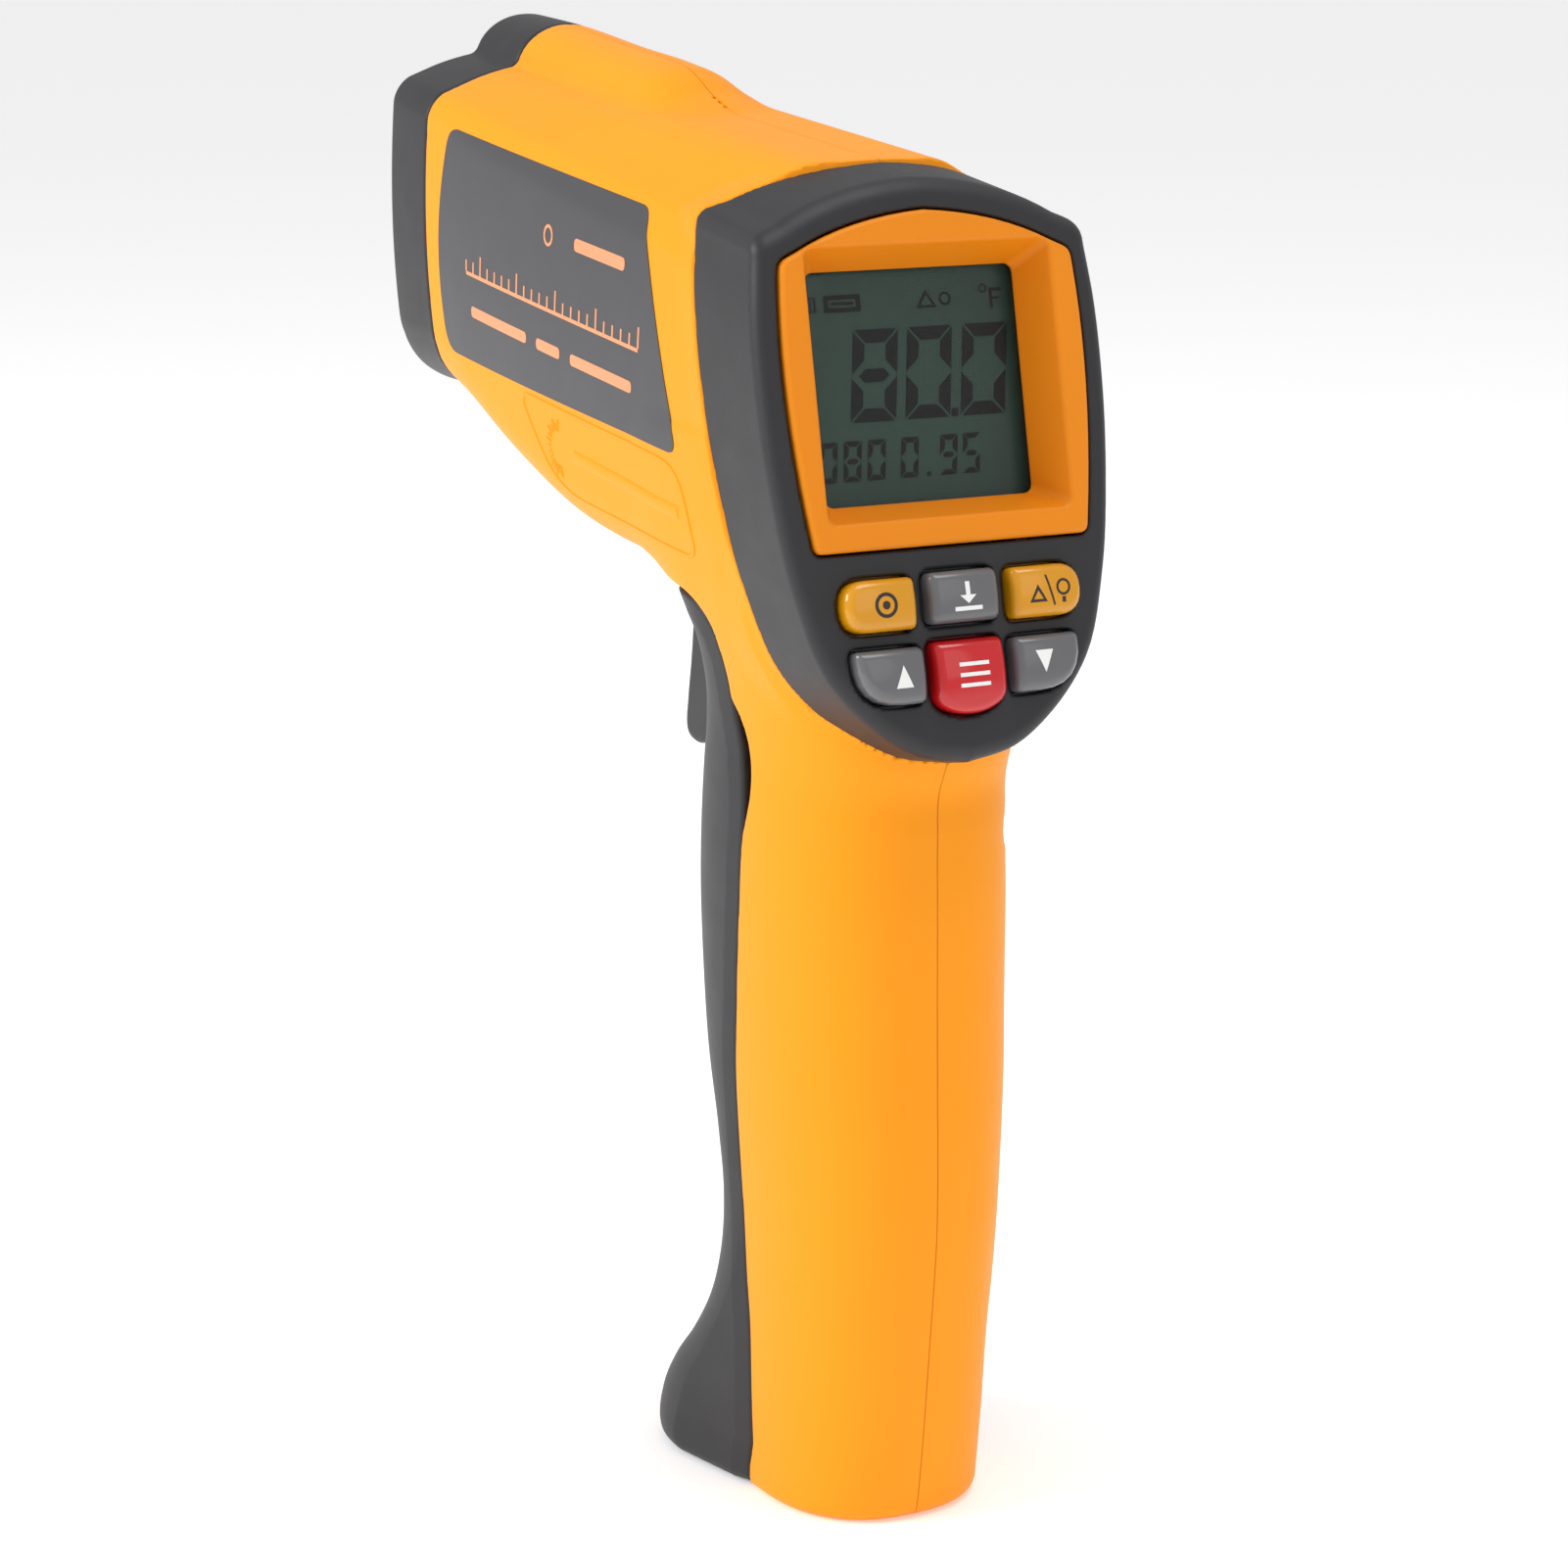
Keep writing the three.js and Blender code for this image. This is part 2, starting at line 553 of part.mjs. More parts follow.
// A key's outline grown about its own middle.
function grown(key, amount) {
  const points = key.outline(0, 0).getPoints(4);
  const factor = 1 + amount / 4.6;
  return new THREE.Shape(points.map((p) => new THREE.Vector2(key.u + p.x * factor, key.v + p.y * factor)));
}

function bezel() {
  const cavity = bezelForm(FACE_WALL, 30, WALL);
  const frameHole = platePressed(frameOutline(GAP), -3, 12);
  const keyHoles = KEYS.map((key) => platePressed(grown(key, KEY_CLEARANCE), -3, 5));
  add('display_bezel', cut(bezelRegion, [cavity, frameHole, ...keyHoles]), BLACK);
}

function display() {
  add('display_frame', platePressed(frameOutline(0), -0.7, 7.6, 0.6).subtract(windowOpening())
    .subtract(platePressed(rectangle(-18.6, 18.6, 4.9, 41.4, 1), 6, 9)), ORANGE);
  add('lcd_window', platePressed(rectangle(-18.2, 18.2, 5.3, 41, 1), 6.3, 7.6), CLEAR);
  add('lcd_panel', platePressed(rectangle(-20, 20, 4, 42.5, 0.4), 8, 10.4), LCD_GREEN);
  add('backlight', platePressed(rectangle(-19.4, 19.4, 7.4, 42.2, 0.4), 10.7, 13.6), WHITE);
  add('zebra_strip', platePressed(rectangle(-18, 18, 4.4, 6.8, 0.3), 10.7, 14.2), GREY);
}

function electronics() {
  const edge = [[10, -25], [14, -15], [16.6, -5], [20, 4], [20, 42]];
  const corners = edge.concat(edge.map(([u, v]) => [-u, v]).reverse());
  const board = new THREE.Shape(corners.map(([u, v]) => new THREE.Vector2(u, v)));
  add('main_board', platePressed(board, BOARD_DEPTH, BOARD_DEPTH + BOARD_THICKNESS), BOARD_GREEN);
  const back = BOARD_DEPTH + BOARD_THICKNESS + GAP;
  const disc = new THREE.Shape().absarc(-8, 30, 6, 0, 2 * Math.PI);
  add('buzzer', platePressed(disc, back, back + 4.5), BLACK);
  add('processor', platePressed(rectangle(2, 14, 14, 26, 0.4), back, back + 1.6), BLACK);
  const mat = platePressed(rectangle(-13.6, 13.6, -14, -0.6, 1), 13, 14.2)
    .add(platePressed(rectangle(-9, 9, -23, -12, 1), 13, 14.2));
  const domes = KEYS.map(({ u, v }) => {
    const dome = new THREE.Shape().absarc(u * 0.75, v * 0.96, 2.6, 0, 2 * Math.PI);
    return platePressed(dome, 8, 13.6);
  });
  add('keypad_mat', join([mat, ...domes]), SILICONE);
}

function keys() {
  for (const key of KEYS) {
    const cap = platePressed(key.outline(key.u, key.v), -KEY_PROUD, KEY_BACK, 0.8);
    const skirt = platePressed(grown(key, 0.6), FACE_WALL + GAP, FACE_WALL + 1.4);
    add(key.name, cap.add(skirt), key.finish);
  }
}

// ---- trigger ---------------------------------------------------------------------------------

function trigger() {
  const { x, z, boss, half } = TRIGGER;
  const shape = new THREE.Shape();
  shape.moveTo(x + 4, z);
  shape.quadraticCurveTo(60.4, 130, 63.6, 118);
  shape.quadraticCurveTo(66.8, 110, 61.5, 109.6);
  shape.lineTo(57, 110.6);
  shape.quadraticCurveTo(49.5, 113, 47.4, 122);
  shape.lineTo(47.6, 138);
  shape.lineTo(x - 4, z);
  const geometry = new THREE.ExtrudeGeometry(shape, {
    depth: 2 * half, bevelEnabled: false, curveSegments: 7,
  });
  const blade = solid(geometry.rotateX(Math.PI / 2).translate(0, half, 0));
  const hub = barY(boss, x, z, -half, half);
  const bore = barY(PIN_RADIUS + GAP, x, z, -half - 1, half + 1, 14);
  const springPocket = block(x - 6, x + 6, -3, 3, z - 7, z + 7);
  add('trigger', cut(blade.add(hub), [bore, springPocket]), BLACK);
  add('trigger_pin', barY(PIN_RADIUS, x, z, -14.6, 14.6, 14), STEEL);

  // A torsion spring on the pin, drawn as its coil and the leg that lies on the trigger's back.
  const coil = barY(3.1, x, z, -2.4, 2.4, 18).subtract(barY(PIN_RADIUS + GAP, x, z, -3, 3, 14));
  const leg = block(x - 2.9, x - 2, 1.4, 2.3, z - 6.4, z);
  add('trigger_spring', coil.add(leg), STEEL);
  add('trigger_switch', join([block(31, 39, -4, 4, 124, 133), block(38, 44.4, -1.4, 1.4, 127, 129.4)]), BLACK);
}

// ---- battery and its door --------------------------------------------------------------------

function battery() {
  const terminal = (y, radius) => {
    const geometry = new THREE.CylinderGeometry(radius, radius, 3, 14).rotateX(Math.PI / 2);
    return solid(geometry.translate(15.2, y, 87.3));
  };
  add('battery', join([block(6.8, 24.2, -13.1, 13.1, 38, 86.4), terminal(6.3, 2.7), terminal(-6.3, 3.6)]),
    BATTERY_BLUE);
  add('battery_snap', block(10.5, 20.5, -12.6, 12.6, 89.2, 92), BLACK);
  lead('lead_red', 5.2, 9, LEAD_RED);
  lead('lead_black', -1.6, 3, LEAD_BLACK);
}

// A thin lead from the battery snap up to the lower end of the main board.
function lead(name, y, boardY, finish) {
  const route = new THREE.CatmullRomCurve3([
    new THREE.Vector3(12, y, 92.4),
    new THREE.Vector3(12, y, 98),
    new THREE.Vector3(14, (y + boardY) / 2, 110),
    new THREE.Vector3(12, boardY, 124),
    new THREE.Vector3(5.6, boardY, 131),
  ]);
  const section = new THREE.Shape().absarc(0, 0, 0.7, 0, 2 * Math.PI);
  const geometry = new THREE.ExtrudeGeometry(section, { steps: 14, curveSegments: 4, extrudePath: route });
  add(name, solid(geometry), finish);
}

function batteryDoor() {
  const body = handleOuter.intersect(doorSide(0)).intersect(block(15, 80, -40, 40, 0.3, DOOR_TOP));
  const inner = handleForm(WALL).intersect(block(0, 80, -40, 40, WALL + 0.3, 150));
  const tongueRoom = join([
    block(0, HINGE.x, -HINGE.half - 0.4, HINGE.half + 0.4, -1, 9),
    barY(HINGE.swing, HINGE.x, HINGE.z, -HINGE.half - 0.4, HINGE.half + 0.4, 24),
  ]);
  const flangeSide = plateXZ([[16, 104], [16, 118.5], [19, 123], [24, 123], [24, 104]], -40, 40);
  const flangeRoot = handleForm(WALL / 2).intersect(block(21.1, 24, -40, 40, 104, 118));
  const flange = join([handleForm(WALL + GAP).intersect(flangeSide), flangeRoot])
    .subtract(handleForm(WALL + 1.9))
    .subtract(block(0, 40, -8, 8, 90, 140));
  const bosses = join([
    barY(4.6, HINGE.x, HINGE.z, HINGE.half + 0.5, 18.6),
    barY(4.6, HINGE.x, HINGE.z, -18.6, -HINGE.half - 0.5),
  ]).intersect(handleOuter).intersect(block(0, 80, -40, 40, 0.3, 20));
  const shell = join([body.subtract(inner), flange, bosses]);
  add('battery_door', cut(shell, [
    tongueRoom,
    barY(PIN_RADIUS + GAP, HINGE.x, HINGE.z, -18.2, 18.2, 14),
    block(24, 90, -8.8, 8.8, 106, 150),
  ]), BLACK);
  add('door_pin', barY(PIN_RADIUS, HINGE.x, HINGE.z, -17.9, 17.9, 14), STEEL);
}

// ---- assembly --------------------------------------------------------------------------------

const group = new THREE.Group();

function add(name, body, material) {
  const mesh = new THREE.Mesh(geometryOf(body), material);
  mesh.name = name;
  group.add(mesh);
}

housings();
housingScrews();
labels();
nose();
bezel();
display();
electronics();
keys();
trigger();
battery();
batteryDoor();
group.position.x = -MID_LENGTH;

export default group;
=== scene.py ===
"""The looks of a hand-held infrared thermometer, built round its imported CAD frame.

The mouldings are smooth solids given as signed distances, in millimetres from the heel of the
handle: x towards the nose, y to the instrument's left, z up. Each is meshed as the zero surface of
its distance and replaces the plainer CAD node of the same name. Prints, marks and small turned
pieces are laid on them.
"""

import math

import bpy
import numpy as np
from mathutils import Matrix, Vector
from mathutils.geometry import delaunay_2d_cdt


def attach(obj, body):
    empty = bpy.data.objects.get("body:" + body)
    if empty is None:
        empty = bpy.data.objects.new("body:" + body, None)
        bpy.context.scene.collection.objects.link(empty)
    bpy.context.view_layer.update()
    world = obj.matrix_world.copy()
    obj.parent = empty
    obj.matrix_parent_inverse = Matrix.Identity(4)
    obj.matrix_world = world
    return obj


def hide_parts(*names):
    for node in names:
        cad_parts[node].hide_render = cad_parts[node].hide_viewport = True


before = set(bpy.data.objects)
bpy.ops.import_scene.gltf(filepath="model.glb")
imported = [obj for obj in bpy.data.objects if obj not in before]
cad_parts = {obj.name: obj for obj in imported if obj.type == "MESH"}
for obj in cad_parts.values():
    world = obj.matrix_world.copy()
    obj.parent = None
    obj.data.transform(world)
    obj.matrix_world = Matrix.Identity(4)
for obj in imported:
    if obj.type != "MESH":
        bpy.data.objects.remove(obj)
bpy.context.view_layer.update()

# ---- driving dimensions, most of them the CAD's ------------------------------------------------

MM = 0.001
MID_LENGTH = 62.4                  # heel to the middle of the overall length, the frame's X = 0
WALL = 2.4
GAP = 0.3
RIM_GAP, RIM_BITE = 0.1, 0.5       # the housings behind the bezel's rim, and into its lower wall
SEAM = 0.08                        # half the gap between the housings
FACE_TILT = 0.21
FACE_X, FACE_Z = -8.66, 151.67     # middle of the display frame's lower edge
RIM_DEPTH_MIDDLE, RIM_DEPTH_SIDE = 11, 19.8
FACE_WALL = 2.6
ROOF_START_Z, ROOF_SLOPE = 203, 0.0873
NOSE_SEAM_X, NOSE_X = 122.5, 141
DOOR_SEAM_X = 20.8
HINGE_X, HINGE_Z, HINGE_HALF = 47, 6.4, 13
LUG_RADIUS, LUG_ROOM = 6, 6.25      # of the door's hinge, and of the door's room for it
TRIGGER_PIN_X, TRIGGER_PIN_Z = 57, 150
PIN_BORE, DOOR_PIN_HALF = 1.8, 17.9
OPTIC_Z, LASER_Z = 184, 210.2
TUBE_RADIUS = 13.2
SCREWS = [(9, 14), (4.5, 106), (34, 194), (70, 153.4), (108, 162.6)]
SCREW_WELL = 3.1                   # radius of the wells above the screw heads
SCREW_SEAT = 13.9                  # the screw heads' seats, from the mid-plane
COARSE = 1.0

# ---- curves and blends -------------------------------------------------------------------------


def smooth_curve(table, at):
    """A smooth curve through (place, value) pairs, held level past its ends."""
    places, values = np.array(table, float).T
    slopes = np.gradient(values, places)
    at = np.clip(at, places[0], places[-1])
    i = np.clip(np.searchsorted(places, at) - 1, 0, len(places) - 2)
    span = places[i + 1] - places[i]
    t = (at - places[i]) / span
    rise = values[i + 1] - values[i]
    start, end = slopes[i] * span, slopes[i + 1] * span
    return values[i] + t * (start + t * (3 * rise - 2 * start - end + t * (start + end - 2 * rise)))


def both(a, b, radius=0.0):
    """The solid inside both distances, its edge rounded to a radius."""
    if np.all(radius == 0):
        return np.maximum(a, b)
    corner = np.hypot(np.maximum(a + radius, 0), np.maximum(b + radius, 0))
    return np.minimum(-radius, np.maximum(a, b)) + corner


def either(a, b, radius=0.0):
    """The solid inside either distance, with a fillet between them."""
    return -both(-a, -b, radius)


def without(a, b, radius=0.0):
    """Solid a with b cut out of it."""
    return both(a, -b, radius)


def box_field(x, y, z, low, high):
    """Distance to a block between two corners."""
    gaps = [np.maximum(lo - v, v - hi) for v, lo, hi in zip((x, y, z), low, high)]
    return np.maximum(np.maximum(gaps[0], gaps[1]), gaps[2])


def ramp(value, start, end):
    t = np.clip((value - start) / (end - start), 0, 1)
    return t * t * (3 - 2 * t)


# ---- outlines ----------------------------------------------------------------------------------


def bezier(a, b, c, steps=8):
    """Points on a curve from a to c that leaves towards b."""
    a, b, c = (np.array(p, float) for p in (a, b, c))
    t = np.linspace(0, 1, steps + 1)[:, None]
    return (1 - t) ** 2 * a + 2 * t * (1 - t) * b + t**2 * c


def rounded(corners, steps=6):
    """A closed outline through (a, b, cut) corners; a curve takes off each corner, cut long."""
    places = [np.array(corner[:2], float) for corner in corners]
    points = []
    for i, corner in enumerate(corners):
        cut = corner[2] if len(corner) > 2 else 0
        here = places[i]
        if cut == 0:
            points.append(here)
            continue
        before, after = places[i - 1] - here, places[(i + 1) % len(corners)] - here
        before = here + before * (cut / np.linalg.norm(before))
        after = here + after * (cut / np.linalg.norm(after))
        points.extend(bezier(before, here, after, steps))
    return np.array(points)


def spline(points, steps=6):
    """A smooth open line through points."""
    points = np.array(points, float)
    along = np.r_[0, np.cumsum(np.linalg.norm(np.diff(points, axis=0), axis=1))]
    at = np.interp(np.linspace(0, len(points) - 1, (len(points) - 1) * steps + 1),
                   np.arange(len(points)), along)
    return np.stack([smooth_curve(np.c_[along, points[:, k]], at) for k in (0, 1)], 1)


def mirrored(half):
    """A closed outline from its right half, listed from the bottom to the top."""
    half = np.array(half, float)
    return np.r_[half, (half * (-1, 1))[-2:0:-1]]


class Outline:
    """Signed distance to a closed outline, looked up on a fine grid."""

    def __init__(self, points, margin=6, cell=0.2):
        self.points = np.array(points, float)
        self.low = self.points.min(0) - margin
        self.cell = cell
        self.count = np.ceil((self.points.max(0) + margin - self.low) / cell).astype(int) + 1
        a = self.low[0] + cell * np.arange(self.count[0])[:, None]
        b = self.low[1] + cell * np.arange(self.count[1])[None, :]
        nearest = np.full(self.count, np.inf)
        inside = np.zeros(self.count, bool)
        for p, q in zip(self.points, np.roll(self.points, -1, axis=0)):
            edge = q - p
            length = max(edge @ edge, 1e-12)
            t = np.clip(((a - p[0]) * edge[0] + (b - p[1]) * edge[1]) / length, 0, 1)
            away = (a - p[0] - t * edge[0]) ** 2 + (b - p[1] - t * edge[1]) ** 2
            nearest = np.minimum(nearest, away)
            if p[1] != q[1]:
                crossing = p[0] + (b - p[1]) / edge[1] * edge[0]
                inside ^= ((p[1] <= b) != (q[1] <= b)) & (a < crossing)
        self.grid = np.sqrt(nearest) * np.where(inside, -1, 1)

    def __call__(self, a, b):
        a = np.clip((a - self.low[0]) / self.cell, 0, self.count[0] - 1.001)
        b = np.clip((b - self.low[1]) / self.cell, 0, self.count[1] - 1.001)
        i, j = a.astype(np.int32), b.astype(np.int32)
        s, t = a - i, b - j
        grid = self.grid
        low = grid[i, j] * (1 - s) + grid[i + 1, j] * s
        high = grid[i, j + 1] * (1 - s) + grid[i + 1, j + 1] * s
        return low * (1 - t) + high * t


# ---- outer form --------------------------------------------------------------------------------

BLUNTNESS, HANDLE_TOP = 2.4, 166
# Up the handle: height, rear end, half breadth at the door seam, widest place forward of the
# seam and its half breadth, front end.
HANDLE = np.array([
    [0, 0.1, 17.4, 39, 21.3, 56.2],
    [2.5, -0.4, 17.4, 39.5, 21.8, 57.2],
    [8, -1.3, 17.5, 39, 21.4, 57],
    [14, -2.1, 17.7, 37, 20.6, 53],
    [20, -2.8, 17.8, 33, 19.8, 47.2],
    [28, -3.7, 18, 28, 19.1, 41.6],
    [36, -4.6, 18.5, 24, 18.9, 39.4],
    [46, -5.6, 18.9, 23, 18.9, 38.2],
    [56, -5.8, 19.4, 23, 19.4, 39.8],
    [68, -5.5, 20, 23, 20, 43.8],
    [82, -5.2, 20.1, 23, 20.1, 46.8],
    [96, -5, 20.2, 23, 20.2, 47.7],
    [108, -4.8, 20, 23, 20, 47],
    [114, -5, 19.9, 23, 19.9, 46],
    [120, -7.5, 20, 23, 20, 44.2],
    [128, -8, 21, 24, 21, 41.2],
    [136, -8, 23, 25, 23, 42],
    [141, -8, 24.1, 27, 24.1, 50],
    [144.5, -8, 24.9, 28, 24.9, 61],
    [150, -6, 25.8, 28, 25.8, 70],
    [160, -4, 26.6, 28, 26.6, 70],
])


def handle_form(x, y, z):
    rear, seam_half, wide_x, wide_half, front = (
        smooth_curve(HANDLE[:, [0, k]], z) for k in range(1, 6))
    behind = x < DOOR_SEAM_X
    ahead = x > wide_x
    reach = np.where(behind, DOOR_SEAM_X - rear, front - wide_x)
    along = np.where(behind, DOOR_SEAM_X - x, np.maximum(x - wide_x, 0)) / reach
    share = np.clip((x - DOOR_SEAM_X) / (wide_x - DOOR_SEAM_X), 0, 1)
    half = np.where(ahead, wide_half, seam_half + (wide_half - seam_half) * share)
    across = np.abs(y) / half
    size = np.maximum(along**BLUNTNESS + across**BLUNTNESS, 1e-6) ** (1 / BLUNTNESS)
    steep_x = (along / size) ** (BLUNTNESS - 1) / reach
    steep_y = (across / size) ** (BLUNTNESS - 1) / half
    side = (size - 1) / np.hypot(steep_x, steep_y)
    return both(both(side, -z, 2.2), z - HANDLE_TOP, 1)


# Along the barrel: place, underside, half breadth, shoulder height, shoulder half breadth and
# the radius of the lower edges.
BARREL = np.array([
    [6, 146, 26.7, 194, 25.2, 8],
    [25, 143.5, 27.1, 196.4, 25.2, 8],
    [50, 143.3, 27.2, 199.7, 25.2, 8],
    [69, 145.3, 27.2, 202.2, 25.2, 8],
    [93, 151.3, 27, 205.5, 25, 8.5],
    [115.7, 158.2, 26.5, 208.6, 24.5, 9.5],
    [NOSE_SEAM_X, 159.6, 26.3, 209.4, 24.3, 10],
    [139, 159.8, 25.4, 211.3, 23.4, 11],
    [NOSE_X, 160, 25.2, 211.5, 23.2, 11],
])
CROWN_EDGE = 12
CROWN_DROP = 0.4


def barrel_form(x, y, z):
    under, half, shoulder, top_half, edge = (
        smooth_curve(BARREL[:, [0, k]], x) for k in range(1, 6))
    side = np.abs(y)
    roof = ROOF_START_Z + ROOF_SLOPE * x
    up = np.clip((z - under - 8) / (shoulder - under - 8), 0, 1) * 2 - 1
    pulled = np.where(up < 0, 1.3, half - top_half - 0.9)
    flank = side - half + pulled * up**2
    crown = z - roof + CROWN_DROP * (side / CROWN_EDGE) ** 2
    fall = (roof - CROWN_DROP - shoulder + 0.35) / (top_half - 1.5 - CROWN_EDGE)
    slope = (z - roof + CROWN_DROP + fall * (side - CROWN_EDGE)) / np.hypot(1, fall)
    body = both(flank, (under - z) * 0.96, edge)
    body = both(body, both(crown, slope, 1.8), 3)
    return both(both(body, x - NOSE_X, 2), 5 - x, 1)


# Along the hump on the roof: place, height of its top, half breadth.
HUMP = np.array([
    [48, 200, 8], [58, 205.2, 8.6], [64, 208.9, 9], [69, 211.2, 9.3], [73, 213.2, 9.5],
    [76.5, 214.5, 9.6], [82, 215.4, 9.6], [100, 217.3, 9.6], [NOSE_SEAM_X, 219.9, 9.6],
    [NOSE_X, 221.2, 9.6],
])


def hump_form(x, y, z):
    top, half = (smooth_curve(HUMP[:, [0, k]], x) for k in (1, 2))
    middle = np.minimum(ROOF_START_Z + ROOF_SLOPE * x - 2, top - 5)
    rise = top - middle
    across, up = y / half, (z - middle) / rise
    size = np.maximum(np.hypot(across, up), 1e-3)
    side = (size - 1) / np.hypot(across / size / half, up / size / rise)
    return both(both(side, x - NOSE_X, 2), HUMP[0, 0] - x)


FACE_BOTTOM, FACE_HEIGHT = -31.2, 82.8
BEZEL_DEPTH = 33
TOP_RISE = 0.38                    # how far the bezel's top rises per millimetre of depth
face_outline = Outline(mirrored(np.r_[
    spline([(0, -31.2), (8, -29.6), (14.8, -25.2), (21.2, -17.9), (25.2, -6), (27.4, 8.5),
            (28.2, 22), (27.9, 34), (27.1, 41)]),
    bezier((27, 42.2), (26.7, 44.2), (24.4, 45), 4),
    bezier((22.6, 45.7), (13, 51.2), (0, 51.6), 10)]))


def rim_depth(u):
    return RIM_DEPTH_MIDDLE + (RIM_DEPTH_SIDE - RIM_DEPTH_MIDDLE) * (u / 25) ** 2


def to_face(x, y, z):
    """The face's own coordinates: u to the viewer's right, s up it, d below its surface."""
    dx, dz = x - FACE_X, z - FACE_Z
    sin, cos = math.sin(FACE_TILT), math.cos(FACE_TILT)
    return -y, dx * sin + dz * cos, dx * cos - dz * sin


def from_face(u, s, d):
    sin, cos = math.sin(FACE_TILT), math.cos(FACE_TILT)
    return FACE_X + s * sin + d * cos, -u, FACE_Z + s * cos - d * sin


def bezel_form(u, s, d):
    lift = 1 + TOP_RISE * d / FACE_HEIGHT
    side = face_outline(u * (1 + 0.002 * d), FACE_BOTTOM + (s - FACE_BOTTOM) / lift)
    beyond = np.maximum(d - rim_depth(u), 0)
    return both(both(side + 0.02 * beyond**2, -d, 2.4), d - BEZEL_DEPTH, 1)


def plain_form(x, y, z):
    return either(handle_form(x, y, z), barrel_form(x, y, z), 1.4)


def outer_form(x, y, z):
    return with_hump_and_bezel(plain_form(x, y, z), x, y, z)


def with_hump_and_bezel(plain, x, y, z):
    body = either(plain, hump_form(x, y, z), 1.2 + 1.3 * ramp(-x, -115, -85))
    u, s, d = to_face(x, y, z)
    fillet = 0.7 + 2.3 * ramp(d - rim_depth(u), 0, 3.5) * ramp(-z, -146, -134)
    return either(body, bezel_form(u, s, d), fillet)


# ---- divisions between the mouldings -----------------------------------------------------------

door_outline = Outline(np.r_[
    [(23, -12), (22.2, 4)],
    spline([(21.3, 8), (21.3, 36), (21.8, 67), (21.1, 84), (20, 98), (19.6, 110), (20.2, 118),
            (21.6, 124), (22, 131), (23.2, 136.2), (25.8, 138.5), (29.5, 140.1), (35, 140.7),
            (62, 141.4)]),
    [(90, 141.4), (90, -12)]])
scoop_outline = Outline(np.r_[
    [(26, 98), (21.4, 98)],
    spline([(20, 103), (18.3, 107.6), (17, 112), (16.7, 116), (17.5, 120), (19.6, 123.6),
            (23, 126.6)]),
    [(26, 127)]])
TRIGGER_SLOT = ((43, -8.4, 118), (67.5, 8.4, 148))
DOOR_TOP = 140.1
CHAMFER, CHAMFER_FALL = 3.6, 0.15  # along the door's edges: its breadth, and fall per millimetre


def nearer_than_rim(plain, x, y, z):
    """The room that the bezel takes from the housings, which reach into its lower wall."""
    u, s, d = to_face(x, y, z)
    bezel = bezel_form(u, s, d)
    room = np.minimum(bezel + RIM_BITE, np.maximum(bezel - RIM_GAP, 0.05 - plain))
    room = np.minimum(room, bezel + RIM_BITE - (3 + RIM_BITE) * ramp(z, 132, 146))
    return both(room, d - rim_depth(u) - RIM_GAP)


def from_hinge(x, z):
    return np.hypot(x - HINGE_X, z - HINGE_Z)


def housing(x, y, z, screw_radius):
    """One housing, laid out on the left; screw_radius is that of its screw-head wells, or 0."""
    plain = plain_form(x, y, z)
    outer = with_hump_and_bezel(plain, x, y, z)
    hollow = both(outer + WALL, WALL - z)
    body = without(outer, hollow)
    inner = both(outer + 0.8, y - 30)
    shelves = np.minimum(box_field(x, y, z, (-10, -1, 35.8), (20.3, 30, 37.4)),
                         box_field(x, y, z, (-10, -1, 97), (19.4, 30, 98.6)))
    clamps = np.minimum(box_field(x, y, z, (92, -1, 166), (94, 30, 202)),
                        box_field(x, y, z, (112, -1, 172), (114, 30, 196)))
    ribs = np.minimum(shelves, clamps)
    for screw_x, screw_z in SCREWS:
        boss = np.hypot(x - screw_x, z - screw_z) - (4.6 if screw_radius else 3.4)
        ribs = np.minimum(ribs, boss)
    tube_room = np.hypot(y, z - OPTIC_Z) - TUBE_RADIUS - GAP
    ribs = without(both(ribs, inner, 0.3), np.maximum(tube_room, 80 - x))
    body = np.minimum(body, ribs)
    body = both(body, GAP - door_outline(x, z), 0.9)
    body = without(body, nearer_than_rim(plain, x, y, z), 0.2)
    body = without(body, scoop_outline(x, z), 0.9)
    body = without(body, box_field(x, y, z, *TRIGGER_SLOT), 0.8)
    body = both(body, x - NOSE_SEAM_X + GAP / 2, 0.5)
    if screw_radius:
        for screw_x, screw_z in SCREWS:
            well = np.hypot(x - screw_x, z - screw_z) - screw_radius
            body = without(body, np.maximum(well, SCREW_SEAT - y), 0.35)
    tongue = box_field(x, y, z, (12, -1, 0.15), (HINGE_X - 3, HINGE_HALF, WALL))
    lug = np.maximum(from_hinge(x, z) - LUG_RADIUS, np.maximum(6 - y, y - HINGE_HALF))
    foot = box_field(x, y, z, (HINGE_X - LUG_RADIUS, -1, 0.4), (HINGE_X + 1, HINGE_HALF, WALL))
    tongue = without(np.minimum(np.minimum(tongue, lug), foot), from_hinge(x, z) - PIN_BORE)
    return np.minimum(body, tongue)


